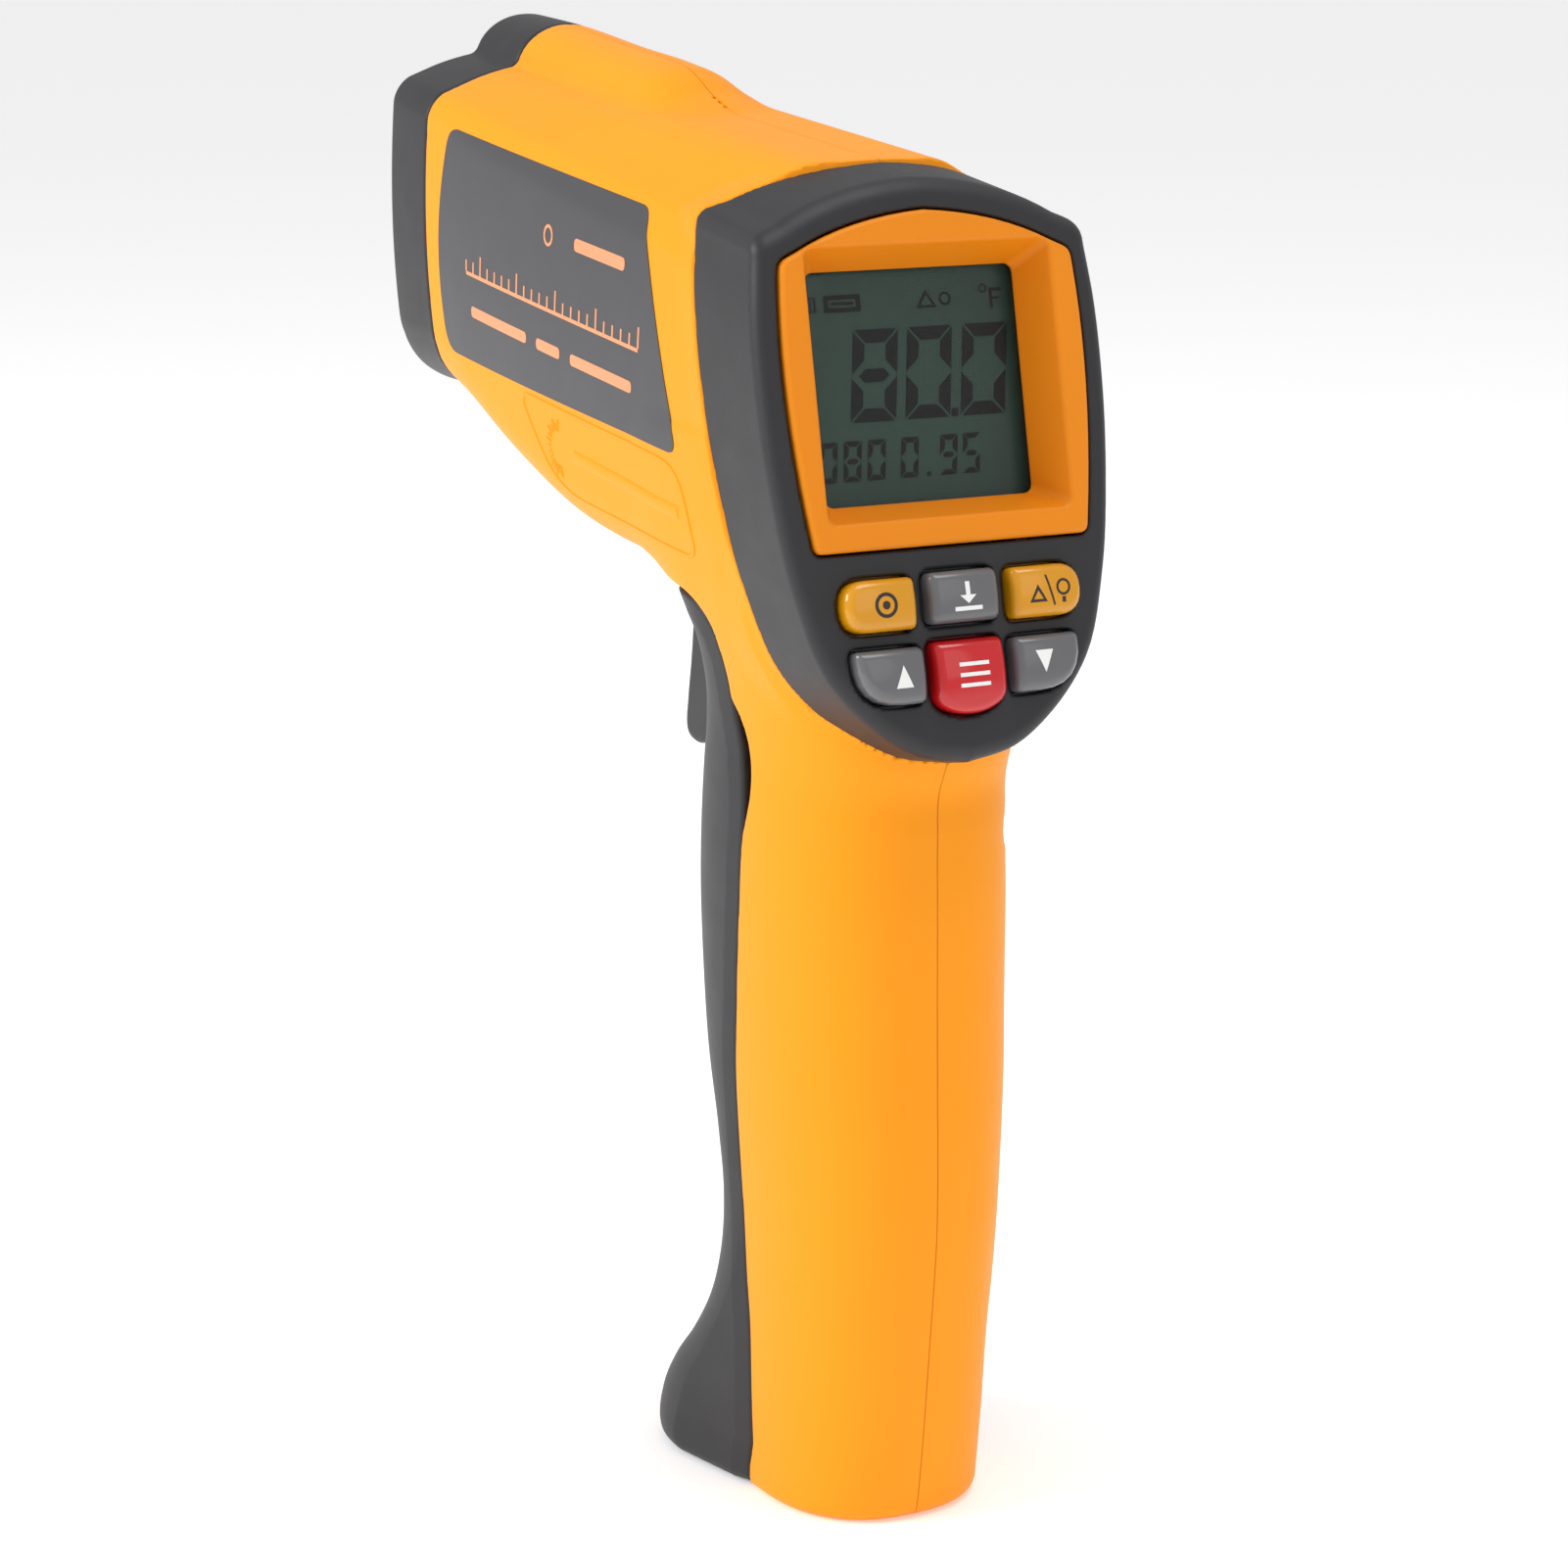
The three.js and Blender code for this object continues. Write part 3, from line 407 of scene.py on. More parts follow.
def battery_door(x, y, z):
    outer = handle_form(x, y, z)
    edge = door_outline(x, z)
    body = both(outer + CHAMFER_FALL * np.maximum(edge + CHAMFER, 0), edge, 0.7)
    body = without(body, both(outer + WALL, WALL + 0.3 - z))
    body = both(both(body, 0.3 - z, 0.3), z - DOOR_TOP, 0.6)
    flange = both(outer + WALL + GAP, -(outer + WALL + 2.1))
    flange = both(flange, box_field(x, y, z, (16, -30, 104), (26, 30, 123)), 0.5)
    flange = np.maximum(flange, 8 - np.abs(y))
    body = np.minimum(body, flange)
    boss = np.maximum(from_hinge(x, z) - 4.6, HINGE_HALF + 0.5 - np.abs(y))
    body = np.minimum(body, np.maximum(boss, outer + 0.5))
    floor = box_field(x, y, z, (0, -30, -1), (HINGE_X, 30, 9))
    room = np.minimum(from_hinge(x, z) - LUG_ROOM, floor)
    body = without(body, np.maximum(room, np.abs(y) - HINGE_HALF - 0.2), 0.3)
    body = without(body, np.maximum(from_hinge(x, z) - PIN_BORE, np.abs(y) - DOOR_PIN_HALF - GAP))
    slot = box_field(x, y, z, (24, -8.8, 106), (90, 8.8, 150))
    return without(body, slot, 0.9)


MOUTH_X, MOUTH_RADIUS, MOUTH_FLARE = 129, 13, 0.383   # of the opening before the lens


def front_cap(x, y, z):
    outer = either(barrel_form(x, y, z), hump_form(x, y, z), 1.2)
    body = both(outer, NOSE_SEAM_X + GAP / 2 - x, 0.6)
    radius = np.hypot(y, z - OPTIC_Z)
    cone = (radius - MOUTH_RADIUS - (x - MOUTH_X) * MOUTH_FLARE) * 0.93
    body = without(body, np.maximum(cone, MOUTH_X - x), 0.9)
    body = without(body, np.maximum(radius - TUBE_RADIUS - GAP, 100 - x), 0.3)
    laser = np.hypot(y, z - LASER_Z)
    body = without(body, laser - 3 - 0.9 * ramp(x, NOSE_X - 1.2, NOSE_X + 0.6), 0.2)
    return without(body, np.maximum(laser - 4.6, x - 128))


# ---- display and keypad ------------------------------------------------------------------------

FRAME_PROUD = 0.7
frame_outline = Outline(mirrored(np.r_[
    [(0, 0)],
    bezier((21, 0), (22.1, 0), (22.3, 1.2), 4),
    bezier((22.4, 2), (25.3, 22), (23.7, 38.6), 10)[1:],
    bezier((23.6, 39.6), (23.5, 41), (22.2, 41.5), 4),
    bezier((20.6, 42.2), (12, 46.6), (0, 47.4), 8)]), cell=0.1)


def window_room(u, s, d):
    """The opening in the display frame, narrowing from its front to the lens."""
    spread = np.clip((5.6 - d) / 7.6, 0, 1.2)
    middle, half_high = 23.15 + 0.2 * spread, 16.65 + 3.4 * spread
    return both(np.abs(u) - 17 - 3.6 * spread, np.abs(s - middle) - half_high, 1.4) * 0.92


def display_frame(u, s, d):
    body = both(frame_outline(u, s), -FRAME_PROUD - d, 0.8)
    body = without(both(body, d - 7.6), window_room(u, s, d), 0.5)
    seat = np.maximum(np.maximum(np.abs(u) - 18.6, np.abs(s - 23.15) - 18.25), 6 - d)
    return without(body, seat)


def key_outline(name):
    """A key's outline about its own middle, as rounded corners."""
    side = -1 if name in ("key_set", "key_up") else 1
    if name in ("key_set", "key_light"):
        corners = [(-side * 5.7, -3.7, 1), (side * 5.7, -3.7, 3.6), (side * 5.7, 3.7, 3.6),
                   (-side * 5.7, 3.7, 1)]
    elif name == "key_store":
        corners = [(-5.6, -3.7, 1.2), (5.6, -3.7, 1.2), (5.6, 3.7, 1.2), (-5.6, 3.7, 1.2)]
    elif name == "key_mode":
        corners = [(-5.7, -3.8, 1.6), (-2.4, -5.6, 2), (2.4, -5.6, 2), (5.7, -3.8, 1.6),
                   (5.7, 5, 1.1), (-5.7, 5, 1.1)]
    else:
        corners = [(-side * 5.4, -4, 1.1), (side * 5.4, -4, 7), (side * 5.4, 4, 0.9),
                   (-side * 5.4, 4, 1.1)]
    return rounded(corners)


KEYS = {"key_set": (-13.5, -7.8), "key_store": (0, -7.5), "key_light": (13.5, -7.8),
        "key_up": (-12.7, -18), "key_mode": (0, -18.6), "key_down": (12.7, -18)}
KEY_PROUD = 2.8
KEY_CLEARANCE = 0.4
key_outlines = {name: Outline(key_outline(name), margin=3, cell=0.1) for name in KEYS}


def display_bezel(u, s, d):
    form = bezel_form(u, s, d)
    body = both(form, d - rim_depth(u), 0.5)
    body = without(body, both(form + WALL, FACE_WALL - d))
    body = without(body, frame_outline(u, s) - GAP, 0.45)
    for name, (key_u, key_s) in KEYS.items():
        hole = key_outlines[name](u - key_u, s - key_s)
        body = without(body, hole - KEY_CLEARANCE, 0.4)
    return body


def key_dome(a, b):
    """Depth of a key's top, about its own middle."""
    return 0.016 * a**2 + 0.028 * b**2 - KEY_PROUD


def key_field(name):
    key_u, key_s = KEYS[name]
    outline = key_outlines[name]

    def field(u, s, d):
        a, b = u - key_u, s - key_s
        side = outline(a, b)
        cap = both(both(side, key_dome(a, b) - d, 1.3), d - 6)
        skirt = np.maximum(side - 0.6, np.abs(d - 3.45) - 0.5)
        return np.minimum(cap, skirt)

    return field


trigger_outline = Outline(np.r_[
    bezier((61, 150), (60.6, 131), (63.4, 119)), bezier((63.9, 116), (65.4, 110.2), (61.4, 109.8)),
    bezier((60.6, 109.7), (50, 111.4), (47.4, 122)), [(47.6, 138), (53, 150)],
    bezier((53.4, 153), (57, 155.8), (60.6, 153), 6)])


def trigger(x, y, z):
    body = both(trigger_outline(x, z), np.abs(y) - 7.5, 1.8)
    bore = np.hypot(x - TRIGGER_PIN_X, z - TRIGGER_PIN_Z) - PIN_BORE
    room = box_field(x, y, z, (51, -3, 143), (63, 3, 157))
    return without(without(body, bore, 0.2), room, 0.3)


# ---- meshing -----------------------------------------------------------------------------------

CORNERS = np.array([(i, j, k) for i in (0, 1) for j in (0, 1) for k in (0, 1)])
SLOPE_REACH, NORMAL_REACH = 0.1, 0.12
MIN_SLOPE = 0.25                   # least squared slope that a point is moved by


def net(values):
    """Vertices, in grid steps, and quads of the zero surface of a grid of distances."""
    inside = values < 0
    shape = np.array(values.shape) - 1
    count = np.zeros(shape, np.int8)
    for i, j, k in CORNERS:
        count += inside[i:i + shape[0], j:j + shape[1], k:k + shape[2]]
    cells = np.argwhere((count > 0) & (count < 8))
    number = np.full(shape, -1, np.int32)
    number[tuple(cells.T)] = np.arange(len(cells))
    at_corners = [values[tuple((cells + corner).T)] for corner in CORNERS]
    total = np.zeros((len(cells), 3))
    hits = np.zeros(len(cells))
    for axis, stride in enumerate((4, 2, 1)):
        for a in range(8):
            if CORNERS[a][axis]:
                continue
            low, high = at_corners[a], at_corners[a + stride]
            crossed = (low < 0) != (high < 0)
            share = np.where(crossed, low / np.where(crossed, low - high, 1), 0)
            point = CORNERS[a] + share[:, None] * (np.arange(3) == axis)
            total += point * crossed[:, None]
            hits += crossed
    vertices = cells + total / hits[:, None]
    quads = []
    for axis in range(3):
        one, two = (axis + 1) % 3, (axis + 2) % 3
        start = np.take(inside, range(inside.shape[axis] - 1), axis)
        end = np.take(inside, range(1, inside.shape[axis]), axis)
        edges = np.argwhere(start != end)
        kept = np.all((edges[:, [one, two]] > 0) & (edges[:, [one, two]] < shape[[one, two]]), 1)
        edges = edges[kept]
        back_one, back_two = np.eye(3, dtype=int)[one], np.eye(3, dtype=int)[two]
        around = [edges, edges - back_one, edges - back_one - back_two, edges - back_two]
        quad = np.stack([number[tuple(corner.T)] for corner in around], 1)
        leaving = start[tuple(edges.T)]
        quads.append(np.where(leaving[:, None], quad, quad[:, ::-1]))
    return vertices, np.concatenate(quads)


def slope_of(field, points, reach):
    sides = []
    for axis in range(3):
        ahead, back = points.copy(), points.copy()
        ahead[:, axis] += reach
        back[:, axis] -= reach
        sides.append((field(*ahead.T) - field(*back.T)) / (2 * reach))
    return np.stack(sides, 1)


def settled(field, points, step):
    """Points moved onto the zero surface of a field."""
    slope = slope_of(field, points, SLOPE_REACH)
    value = field(*points.T)
    move = value / np.maximum((slope**2).sum(1), MIN_SLOPE)
    move = np.clip(move, -step / 2, step / 2)
    return points - slope * move[:, None]


def relaxed(points, quads):
    """Points drawn towards the middle of their neighbours, so that quads become even."""
    total = np.zeros_like(points)
    count = np.zeros(len(points))
    for a, b in ((0, 1), (1, 2), (2, 3), (3, 0)):
        for here, there in ((a, b), (b, a)):
            ends = quads[:, here]
            for axis in range(3):
                values = points[quads[:, there], axis]
                total[:, axis] += np.bincount(ends, values, len(points))
            count += np.bincount(ends, minlength=len(points))
    return 0.5 * points + 0.5 * total / count[:, None]


def onto_edge(field, points, level, step):
    """Moves the points nearest to the edge between a field's surface and y = level onto it."""
    near = np.flatnonzero(np.abs(points[:, 1] - level) < 0.6 * step)
    near = near[np.abs(field(*points[near].T)) < 0.6 * step]
    ends = points[near]
    ends[:, 1] = level
    for _ in range(3):
        slope = slope_of(field, ends, SLOPE_REACH) * (1, 0, 1)
        value = field(*ends.T)
        ends -= slope * (value / np.maximum((slope**2).sum(1), MIN_SLOPE))[:, None]
    points[near] = ends
    normals = slope_of(field, ends, NORMAL_REACH)
    return near, normals / np.linalg.norm(normals, axis=1)[:, None]


def meshed(field, low, high, step, level=None):
    """Points, quads and outward normals of a field's surface inside a box, beyond y = level."""
    step = step * COARSE
    low, high = np.array(low, float), np.array(high, float)
    axes = [np.arange(a, b + step, step) for a, b in zip(low, high)]
    x, y, z = axes[0][:, None, None], axes[1][None, :, None], axes[2][None, None, :]

    def kept(x, y, z):
        return field(x, y, z) if level is None else np.maximum(field(x, y, z), level - y)

    points, quads = net(np.broadcast_to(kept(x, y, z), [len(a) for a in axes]))
    points = settled(kept, low + points * step, step)
    points = settled(kept, relaxed(points, quads), step)
    points = settled(kept, points, step)
    normals = slope_of(kept, points, NORMAL_REACH)
    normals /= np.maximum(np.linalg.norm(normals, axis=1), 1e-6)[:, None]
    if level is not None:
        near, edge_normals = onto_edge(field, points, level, step)
        normals[near] = edge_normals
    return points, quads, normals


# ---- pieces ------------------------------------------------------------------------------------


def to_frame(points):
    """Millimetres from the heel to the frame's metres."""
    return (np.asarray(points, float) - (MID_LENGTH, 0, 0)) * MM


def piece(name, points, faces, material, body, replaced=(), normals=None, slot=None):
    """A mesh in the frame, from points in millimetres; all faces have the same corner count."""
    faces = np.asarray(faces, np.int32)
    corners = faces.shape[1]
    mesh = bpy.data.meshes.new(name)
    mesh.vertices.add(len(points))
    mesh.vertices.foreach_set("co", to_frame(points).astype(np.float32).ravel())
    mesh.loops.add(faces.size)
    mesh.loops.foreach_set("vertex_index", faces.ravel())
    mesh.polygons.add(len(faces))
    mesh.polygons.foreach_set("loop_start", np.arange(0, faces.size, corners, dtype=np.int32))
    mesh.polygons.foreach_set("use_smooth", np.ones(len(faces), bool))
    mesh.update(calc_edges=True)
    mesh.validate()
    if normals is not None:
        mesh.normals_split_custom_set_from_vertices(normals.tolist())
    made = bpy.data.objects.new(name, mesh)
    bpy.context.scene.collection.objects.link(made)
    mesh.materials.append(material)
    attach(made, body)
    if replaced:
        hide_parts(*replaced)
    return made


def moulding(node, field, low, high, step, material, body, face=False, flipped=False,
             level=None, slot=None):
    """The smooth piece that stands for a CAD node; face means a field in face coordinates, which
    are left-handed, and flipped means laid out on the left for the right."""
    points, quads, normals = meshed(field, low, high, step, level)
    if face:
        origin = np.array(from_face(0, 0, 0))
        points = np.stack(from_face(*points.T), 1)
        normals = np.stack(from_face(*normals.T), 1) - origin
        quads = quads[:, ::-1]
    if flipped:
        points, normals = points * (1, -1, 1), normals * (1, -1, 1)
        quads = quads[:, ::-1]
    piece(f"{node}_moulding", points, quads, material, body, [node], normals, slot)


# ---- flat shapes laid on a surface -------------------------------------------------------------


def inside_loops(points, loops):
    inside = np.zeros(len(points), bool)
    for loop in loops:
        for p, q in zip(loop, np.roll(loop, -1, axis=0)):
            if p[1] == q[1]:
                continue
            crossing = p[0] + (points[:, 1] - p[1]) / (q[1] - p[1]) * (q[0] - p[0])
            spans = (p[1] <= points[:, 1]) != (q[1] <= points[:, 1])
            inside ^= spans & (points[:, 0] < crossing)
    return inside


def divided(loop, spacing):
    """A closed outline with its long edges divided."""
    points = []
    for p, q in zip(np.array(loop, float), np.roll(loop, -1, axis=0)):
        count = max(1, math.ceil(np.linalg.norm(q - p) / spacing))
        points += [p + (q - p) * i / count for i in range(count)]
    return np.array(points)


def filled(loops, spacing):
    """Flat points and triangles inside closed loops; every loop inside another is a hole."""
    loops = [divided(loop, spacing) for loop in loops]
    points = [tuple(p) for loop in loops for p in loop]
    edges = []
    for loop in loops:
        start = len(edges)
        edges += [(start + i, start + (i + 1) % len(loop)) for i in range(len(loop))]
    low, high = np.min(loops[0], axis=0), np.max(loops[0], axis=0)
    a, b = np.meshgrid(np.arange(low[0], high[0], spacing), np.arange(low[1], high[1], spacing))
    fill = np.c_[a.ravel() + spacing / 2, b.ravel() + spacing / 2]
    fill = fill[inside_loops(fill, loops)]
    ends = np.array(points)
    for p, q in ((ends[i], ends[j]) for i, j in edges):
        if len(fill) == 0:
            break
        t = np.clip(((fill - p) @ (q - p)) / max((q - p) @ (q - p), 1e-12), 0, 1)
        fill = fill[np.linalg.norm(fill - p - t[:, None] * (q - p), axis=1) > 0.3 * spacing]
    points += [tuple(p) for p in fill]
    flat, _, faces, *_ = delaunay_2d_cdt([Vector(p) for p in points], edges, [], 0, 1e-5)
    flat = np.array([tuple(p) for p in flat])
    faces = np.array(faces)
    return flat, faces[inside_loops(flat[faces].mean(1), loops)]


def plate(loops, spacing, place, lift, thickness):
    """Points and triangles of a thin plate; place(a, b, height) gives millimetres."""
    flat, top = filled(loops, spacing)
    count = len(flat)
    points = np.r_[place(flat[:, 0], flat[:, 1], lift),
                   place(flat[:, 0], flat[:, 1], lift - thickness)]
    sides = np.concatenate([top[:, [0, 1]], top[:, [1, 2]], top[:, [2, 0]]])
    seen = set(map(tuple, sides))
    rim = np.array([(a, b) for a, b in seen if (b, a) not in seen])
    rim = rim[np.lexsort(rim.T)]
    a, b = rim[:, 0], rim[:, 1]
    walls = np.r_[np.c_[b, a, a + count], np.c_[b, a + count, b + count]]
    return points, np.r_[top, top[:, ::-1] + count, walls]


def joined(parts):
    """Several (points, faces) as one."""
    points, faces, start = [], [], 0
    for part_points, part_faces in parts:
        points.append(part_points)
        faces.append(np.asarray(part_faces) + start)
        start += len(part_points)
    return np.concatenate(points), np.concatenate(faces)


def marks(name, shapes, place, material, body, lift, thickness, spacing, flipped=False,
          replaced=(), slot=None):
    """One piece of thin plates; each shape is a list of loops, the outer one first."""
    points, faces = joined([plate(loops, spacing, place, lift, thickness) for loops in shapes])
    if flipped:
        faces = faces[:, ::-1]
    made = piece(name, points, faces, material, body, replaced, slot=slot)
    made.data.set_sharp_from_angle(angle=math.radians(40))


def on_side(side):
    """Places shapes drawn in x and z on the left (1) or right (-1) flank."""
    def place(x, z, height):
        y = np.full(x.shape, 26.0)
        for _ in range(14):
            y = y - np.clip(outer_form(x, y, z), -2, 2)
        return np.stack([x, side * (y + height), z], 1)
    return place


def on_face(depth):
    """Places shapes drawn in u and s at a depth below the face; height is towards the viewer."""
    def place(u, s, height):
        return np.stack(from_face(u, s, depth - height), 1)
    return place


def on_key(name):
    key_u, key_s = KEYS[name]

    def place(a, b, height):
        return np.stack(from_face(a + key_u, b + key_s, key_dome(a, b) - height), 1)
    return place


def turned(points, middle, angle):
    """An outline turned about a point."""
    sin, cos = math.sin(angle), math.cos(angle)
    moved = np.asarray(points, float) - middle
    return moved @ np.array([[cos, sin], [-sin, cos]]) + middle


def bar(a0, a1, b0, b1, cut=0.0):
    return rounded([(a0, b0, cut), (a1, b0, cut), (a1, b1, cut), (a0, b1, cut)], 3)


def disc(a, b, radius):
    angle = 2 * math.pi * np.arange(32) / 32
    return np.c_[a + radius * np.cos(angle), b + radius * np.sin(angle)]


def ring(a, b, radius, width):
    return [disc(a, b, radius), disc(a, b, radius - width)[::-1]]


def stroke(a, b, width):
    """A straight stroke between two points."""
    a, b = np.array(a, float), np.array(b, float)
    side = (b - a)[::-1] * (-1, 1) / np.linalg.norm(b - a) * width / 2
    return np.array([a - side, b - side, b + side, a + side])


def sheared(points, base):
    """An outline slanted as display digits are."""
    points = np.array(points, float)
    points[:, 0] += (points[:, 1] - base) * DIGIT_SLANT
    return points


DIGIT_SLANT = 0.13
SEGMENTS = {"0": "abcdef", "5": "afgcd", "8": "abcdefg", "9": "abcdfg"}


def seven_segment(digit, left, base, width, height, thick):
    """The lit segments of a display digit, as separate outlines."""
    gap, half = 0.12 * thick, thick / 2
    middle, top, right = base + height / 2, base + height, left + width

    def lying(level, inner):
        a0, a1 = left + half + gap, right - half - gap
        low, high = level - half, level + half
        if inner:
            return [(a0, level), (a0 + half, low), (a1 - half, low), (a1, level),
                    (a1 - half, high), (a0 + half, high)]
        outside, within = (high, low) if level > middle else (low, high)
        shape = [(a0 - half, outside), (a0 + half, within), (a1 - half, within),
                 (a1 + half, outside)]
        return shape if level > middle else shape[::-1]

    def standing(place, low, high):
        outside = place - half if place < (left + right) / 2 else place + half
        within = 2 * place - outside
        return [(outside, low + gap), (outside, high - gap), (within, high - gap - thick),
                (within, low + gap + thick)]

    parts = {
        "a": lying(top - half, False), "d": lying(base + half, False), "g": lying(middle, True),
        "b": standing(right - half, middle, top), "c": standing(right - half, base, middle),
        "f": standing(left + half, middle, top), "e": standing(left + half, base, middle),
    }
    return [[sheared(parts[letter], base)] for letter in SEGMENTS[digit]]


def bead(path, width, height, place, closed=False):
    """Points and quads of a low rounded ridge along a path on a surface."""
    path = np.array(path, float)
    if closed:
        path = np.r_[path, path[:1]]
    ahead = np.gradient(path, axis=0)
    ahead /= np.linalg.norm(ahead, axis=1)[:, None]
    across = ahead[:, ::-1] * (-1, 1)
    section = [(-0.5, -0.6), (-0.38, 0.45), (-0.16, 0.92), (0.16, 0.92), (0.38, 0.45), (0.5, -0.6)]
    count = len(path)
    raised = np.ones(count)
    if not closed:
        raised[[0, -1]] = 0
    rows = [place(*(path + across * width * offset).T, height * (raised * (rise + 0.6) - 0.6))
            for offset, rise in section]
    faces = []
    for row in range(len(section) - 1):
        start = row * count
        for i in range(count - 1):
            faces.append((start + i, start + i + 1, start + count + i + 1, start + count + i))
    return np.concatenate(rows), np.array(faces)


# ---- materials ---------------------------------------------------------------------------------


def linear(red, green, blue):
    """A colour from 0-255 display values."""
    values = np.array([red, green, blue]) / 255
    return (*np.where(values < 0.04045, values / 12.92, ((values + 0.055) / 1.055) ** 2.4), 1.0)


def finish(name, colour, roughness, grain=0.0, grain_size=0.5, uneven=0.05, metallic=0.0,
           coat=0.0, specular=0.5, spread=0.06):
    """A moulded or metal surface: fine grain, slightly uneven gloss and tone."""
    made = bpy.data.materials.new(name)
    made.use_nodes = True
    nodes, links = made.node_tree.nodes, made.node_tree.links
    shader = nodes["Principled BSDF"]
    shader.inputs["Metallic"].default_value = metallic
    shader.inputs["Coat Weight"].default_value = coat
    shader.inputs["Coat Roughness"].default_value = 0.08
    shader.inputs["Specular IOR Level"].default_value = specular
    place = nodes.new("ShaderNodeTexCoord")

    def noise(size, detail):
        made_noise = nodes.new("ShaderNodeTexNoise")
        made_noise.inputs["Scale"].default_value = 1 / (size * MM)
        made_noise.inputs["Detail"].default_value = detail
        links.new(place.outputs["Object"], made_noise.inputs["Vector"])
        return made_noise.outputs["Fac"]

    tone = nodes.new("ShaderNodeMix")
    tone.data_type = "RGBA"
    tone.inputs["A"].default_value = tuple(c * (1 - spread) for c in colour[:3]) + (1,)
    tone.inputs["B"].default_value = tuple(min(c * (1 + spread), 1) for c in colour[:3]) + (1,)
    links.new(noise(22, 2), tone.inputs["Factor"])
    links.new(tone.outputs["Result"], shader.inputs["Base Color"])
    gloss = nodes.new("ShaderNodeMapRange")
    gloss.inputs["To Min"].default_value = max(roughness - uneven, 0.02)
    gloss.inputs["To Max"].default_value = roughness + uneven
    links.new(noise(6, 3), gloss.inputs["Value"])
    links.new(gloss.outputs["Result"], shader.inputs["Roughness"])
    if grain:
        bump = nodes.new("ShaderNodeBump")
        bump.inputs["Strength"].default_value = grain
        bump.inputs["Distance"].default_value = 0.05 * MM
        links.new(noise(grain_size, 2), bump.inputs["Height"])
        links.new(bump.outputs["Normal"], shader.inputs["Normal"])
    return made


def see_through(name, colour, roughness, alpha):
    """A clear moulded or glass window."""
    made = finish(name, colour, roughness, uneven=0.01)
    made.node_tree.nodes["Principled BSDF"].inputs["Alpha"].default_value = alpha
    return made


ORANGE = finish("orange_plastic", linear(252, 154, 10), 0.48, grain=0.2,
                grain_size=0.45, specular=0.22, spread=0.02)
ORANGE_FRAME = finish("orange_frame", linear(232, 136, 16), 0.42, grain=0.15, specular=0.25,
                      spread=0.02)
BLACK = finish("black_plastic", linear(38, 38, 41), 0.5, grain=0.3, grain_size=0.4, specular=0.42)
LABEL_GREY = finish("label_film", linear(62, 61, 64), 0.42, grain=0.1, grain_size=0.3)
PEACH = finish("label_print", linear(232, 150, 104), 0.5)
AMBER = finish("amber_key", linear(214, 146, 10), 0.2, uneven=0.03, coat=0.25, spread=0.02)
GREY = finish("grey_key", linear(100, 100, 103), 0.22, uneven=0.03, coat=0.25, spread=0.02)
RED = finish("red_key", linear(196, 20, 26), 0.16, uneven=0.03, coat=0.35, spread=0.02)
WHITE_PRINT = finish("white_print", linear(238, 238, 236), 0.4)
DARK_PRINT = finish("dark_print", linear(40, 34, 34), 0.4)
SILICONE = finish("silicone", linear(200, 200, 196), 0.65)
CIRCUIT = finish("circuit_board", linear(24, 96, 52), 0.4, grain=0.3, grain_size=0.8)
LCD_GREEN = finish("lcd_glass", linear(61, 87, 78), 0.25, uneven=0.02, spread=0.08)
LCD_INK = finish("lcd_segments", linear(9, 13, 15), 0.4)
DIFFUSER = finish("diffuser", linear(232, 232, 226), 0.35)
STEEL = finish("steel", linear(196, 197, 200), 0.28, grain=0.3, metallic=1)
BRASS = finish("brass", linear(196, 160, 88), 0.3, grain=0.2, metallic=1)
CHIP = finish("chip_black", linear(30, 30, 32), 0.45, grain=0.3)
BATTERY_BLUE = finish("battery_wrap", linear(36, 72, 132), 0.25, uneven=0.04, coat=0.3)
WIRE_RED = finish("wire_red", linear(186, 34, 30), 0.4)
WIRE_BLACK = finish("wire_black", linear(26, 26, 28), 0.4)
CLEAR = see_through("clear_window", linear(14, 20, 18), 0.03, 0.14)
GLASS = see_through("optic_glass", linear(70, 96, 104), 0.04, 0.55)

# The record's slot that each finish stands for.
SLOTS = {
    ORANGE: "body_orange", ORANGE_FRAME: "body_orange", BLACK: "grip_black",
    LABEL_GREY: "label_grey", PEACH: "label_grey", AMBER: "key_amber", GREY: "key_grey",
    RED: "key_red", LCD_INK: "lcd_glass", STEEL: "steel", BRASS: "brass", GLASS: "optic_glass",
    BATTERY_BLUE: "battery_case", CHIP: "battery_case",
}

# ---- the mouldings -----------------------------------------------------------------------------


def housings():
    for node, well, flipped in (("housing_left", 0, False), ("housing_right", SCREW_WELL, True)):
        def field(x, y, z, well=well):
            return housing(x, y, z, well)

        moulding(node, field, (-11, -1.5, -1.5), (124, 30, 223), 0.62, ORANGE, "body",
                 flipped=flipped, level=SEAM)


def black_mouldings():
    moulding("front_cap", front_cap, (120, -28, 156), (143, 28, 224), 0.55, BLACK, "body")
    moulding("battery_door", battery_door, (14, -24, -1.5), (64, 24, 142), 0.6, BLACK, "door")
    moulding("trigger", trigger, (44, -9, 107), (68, 9, 157), 0.4, BLACK, "trigger")
    moulding("display_bezel", display_bezel, (-30, -34, -1.5), (30, 64, 27), 0.5, BLACK, "body",
             face=True)


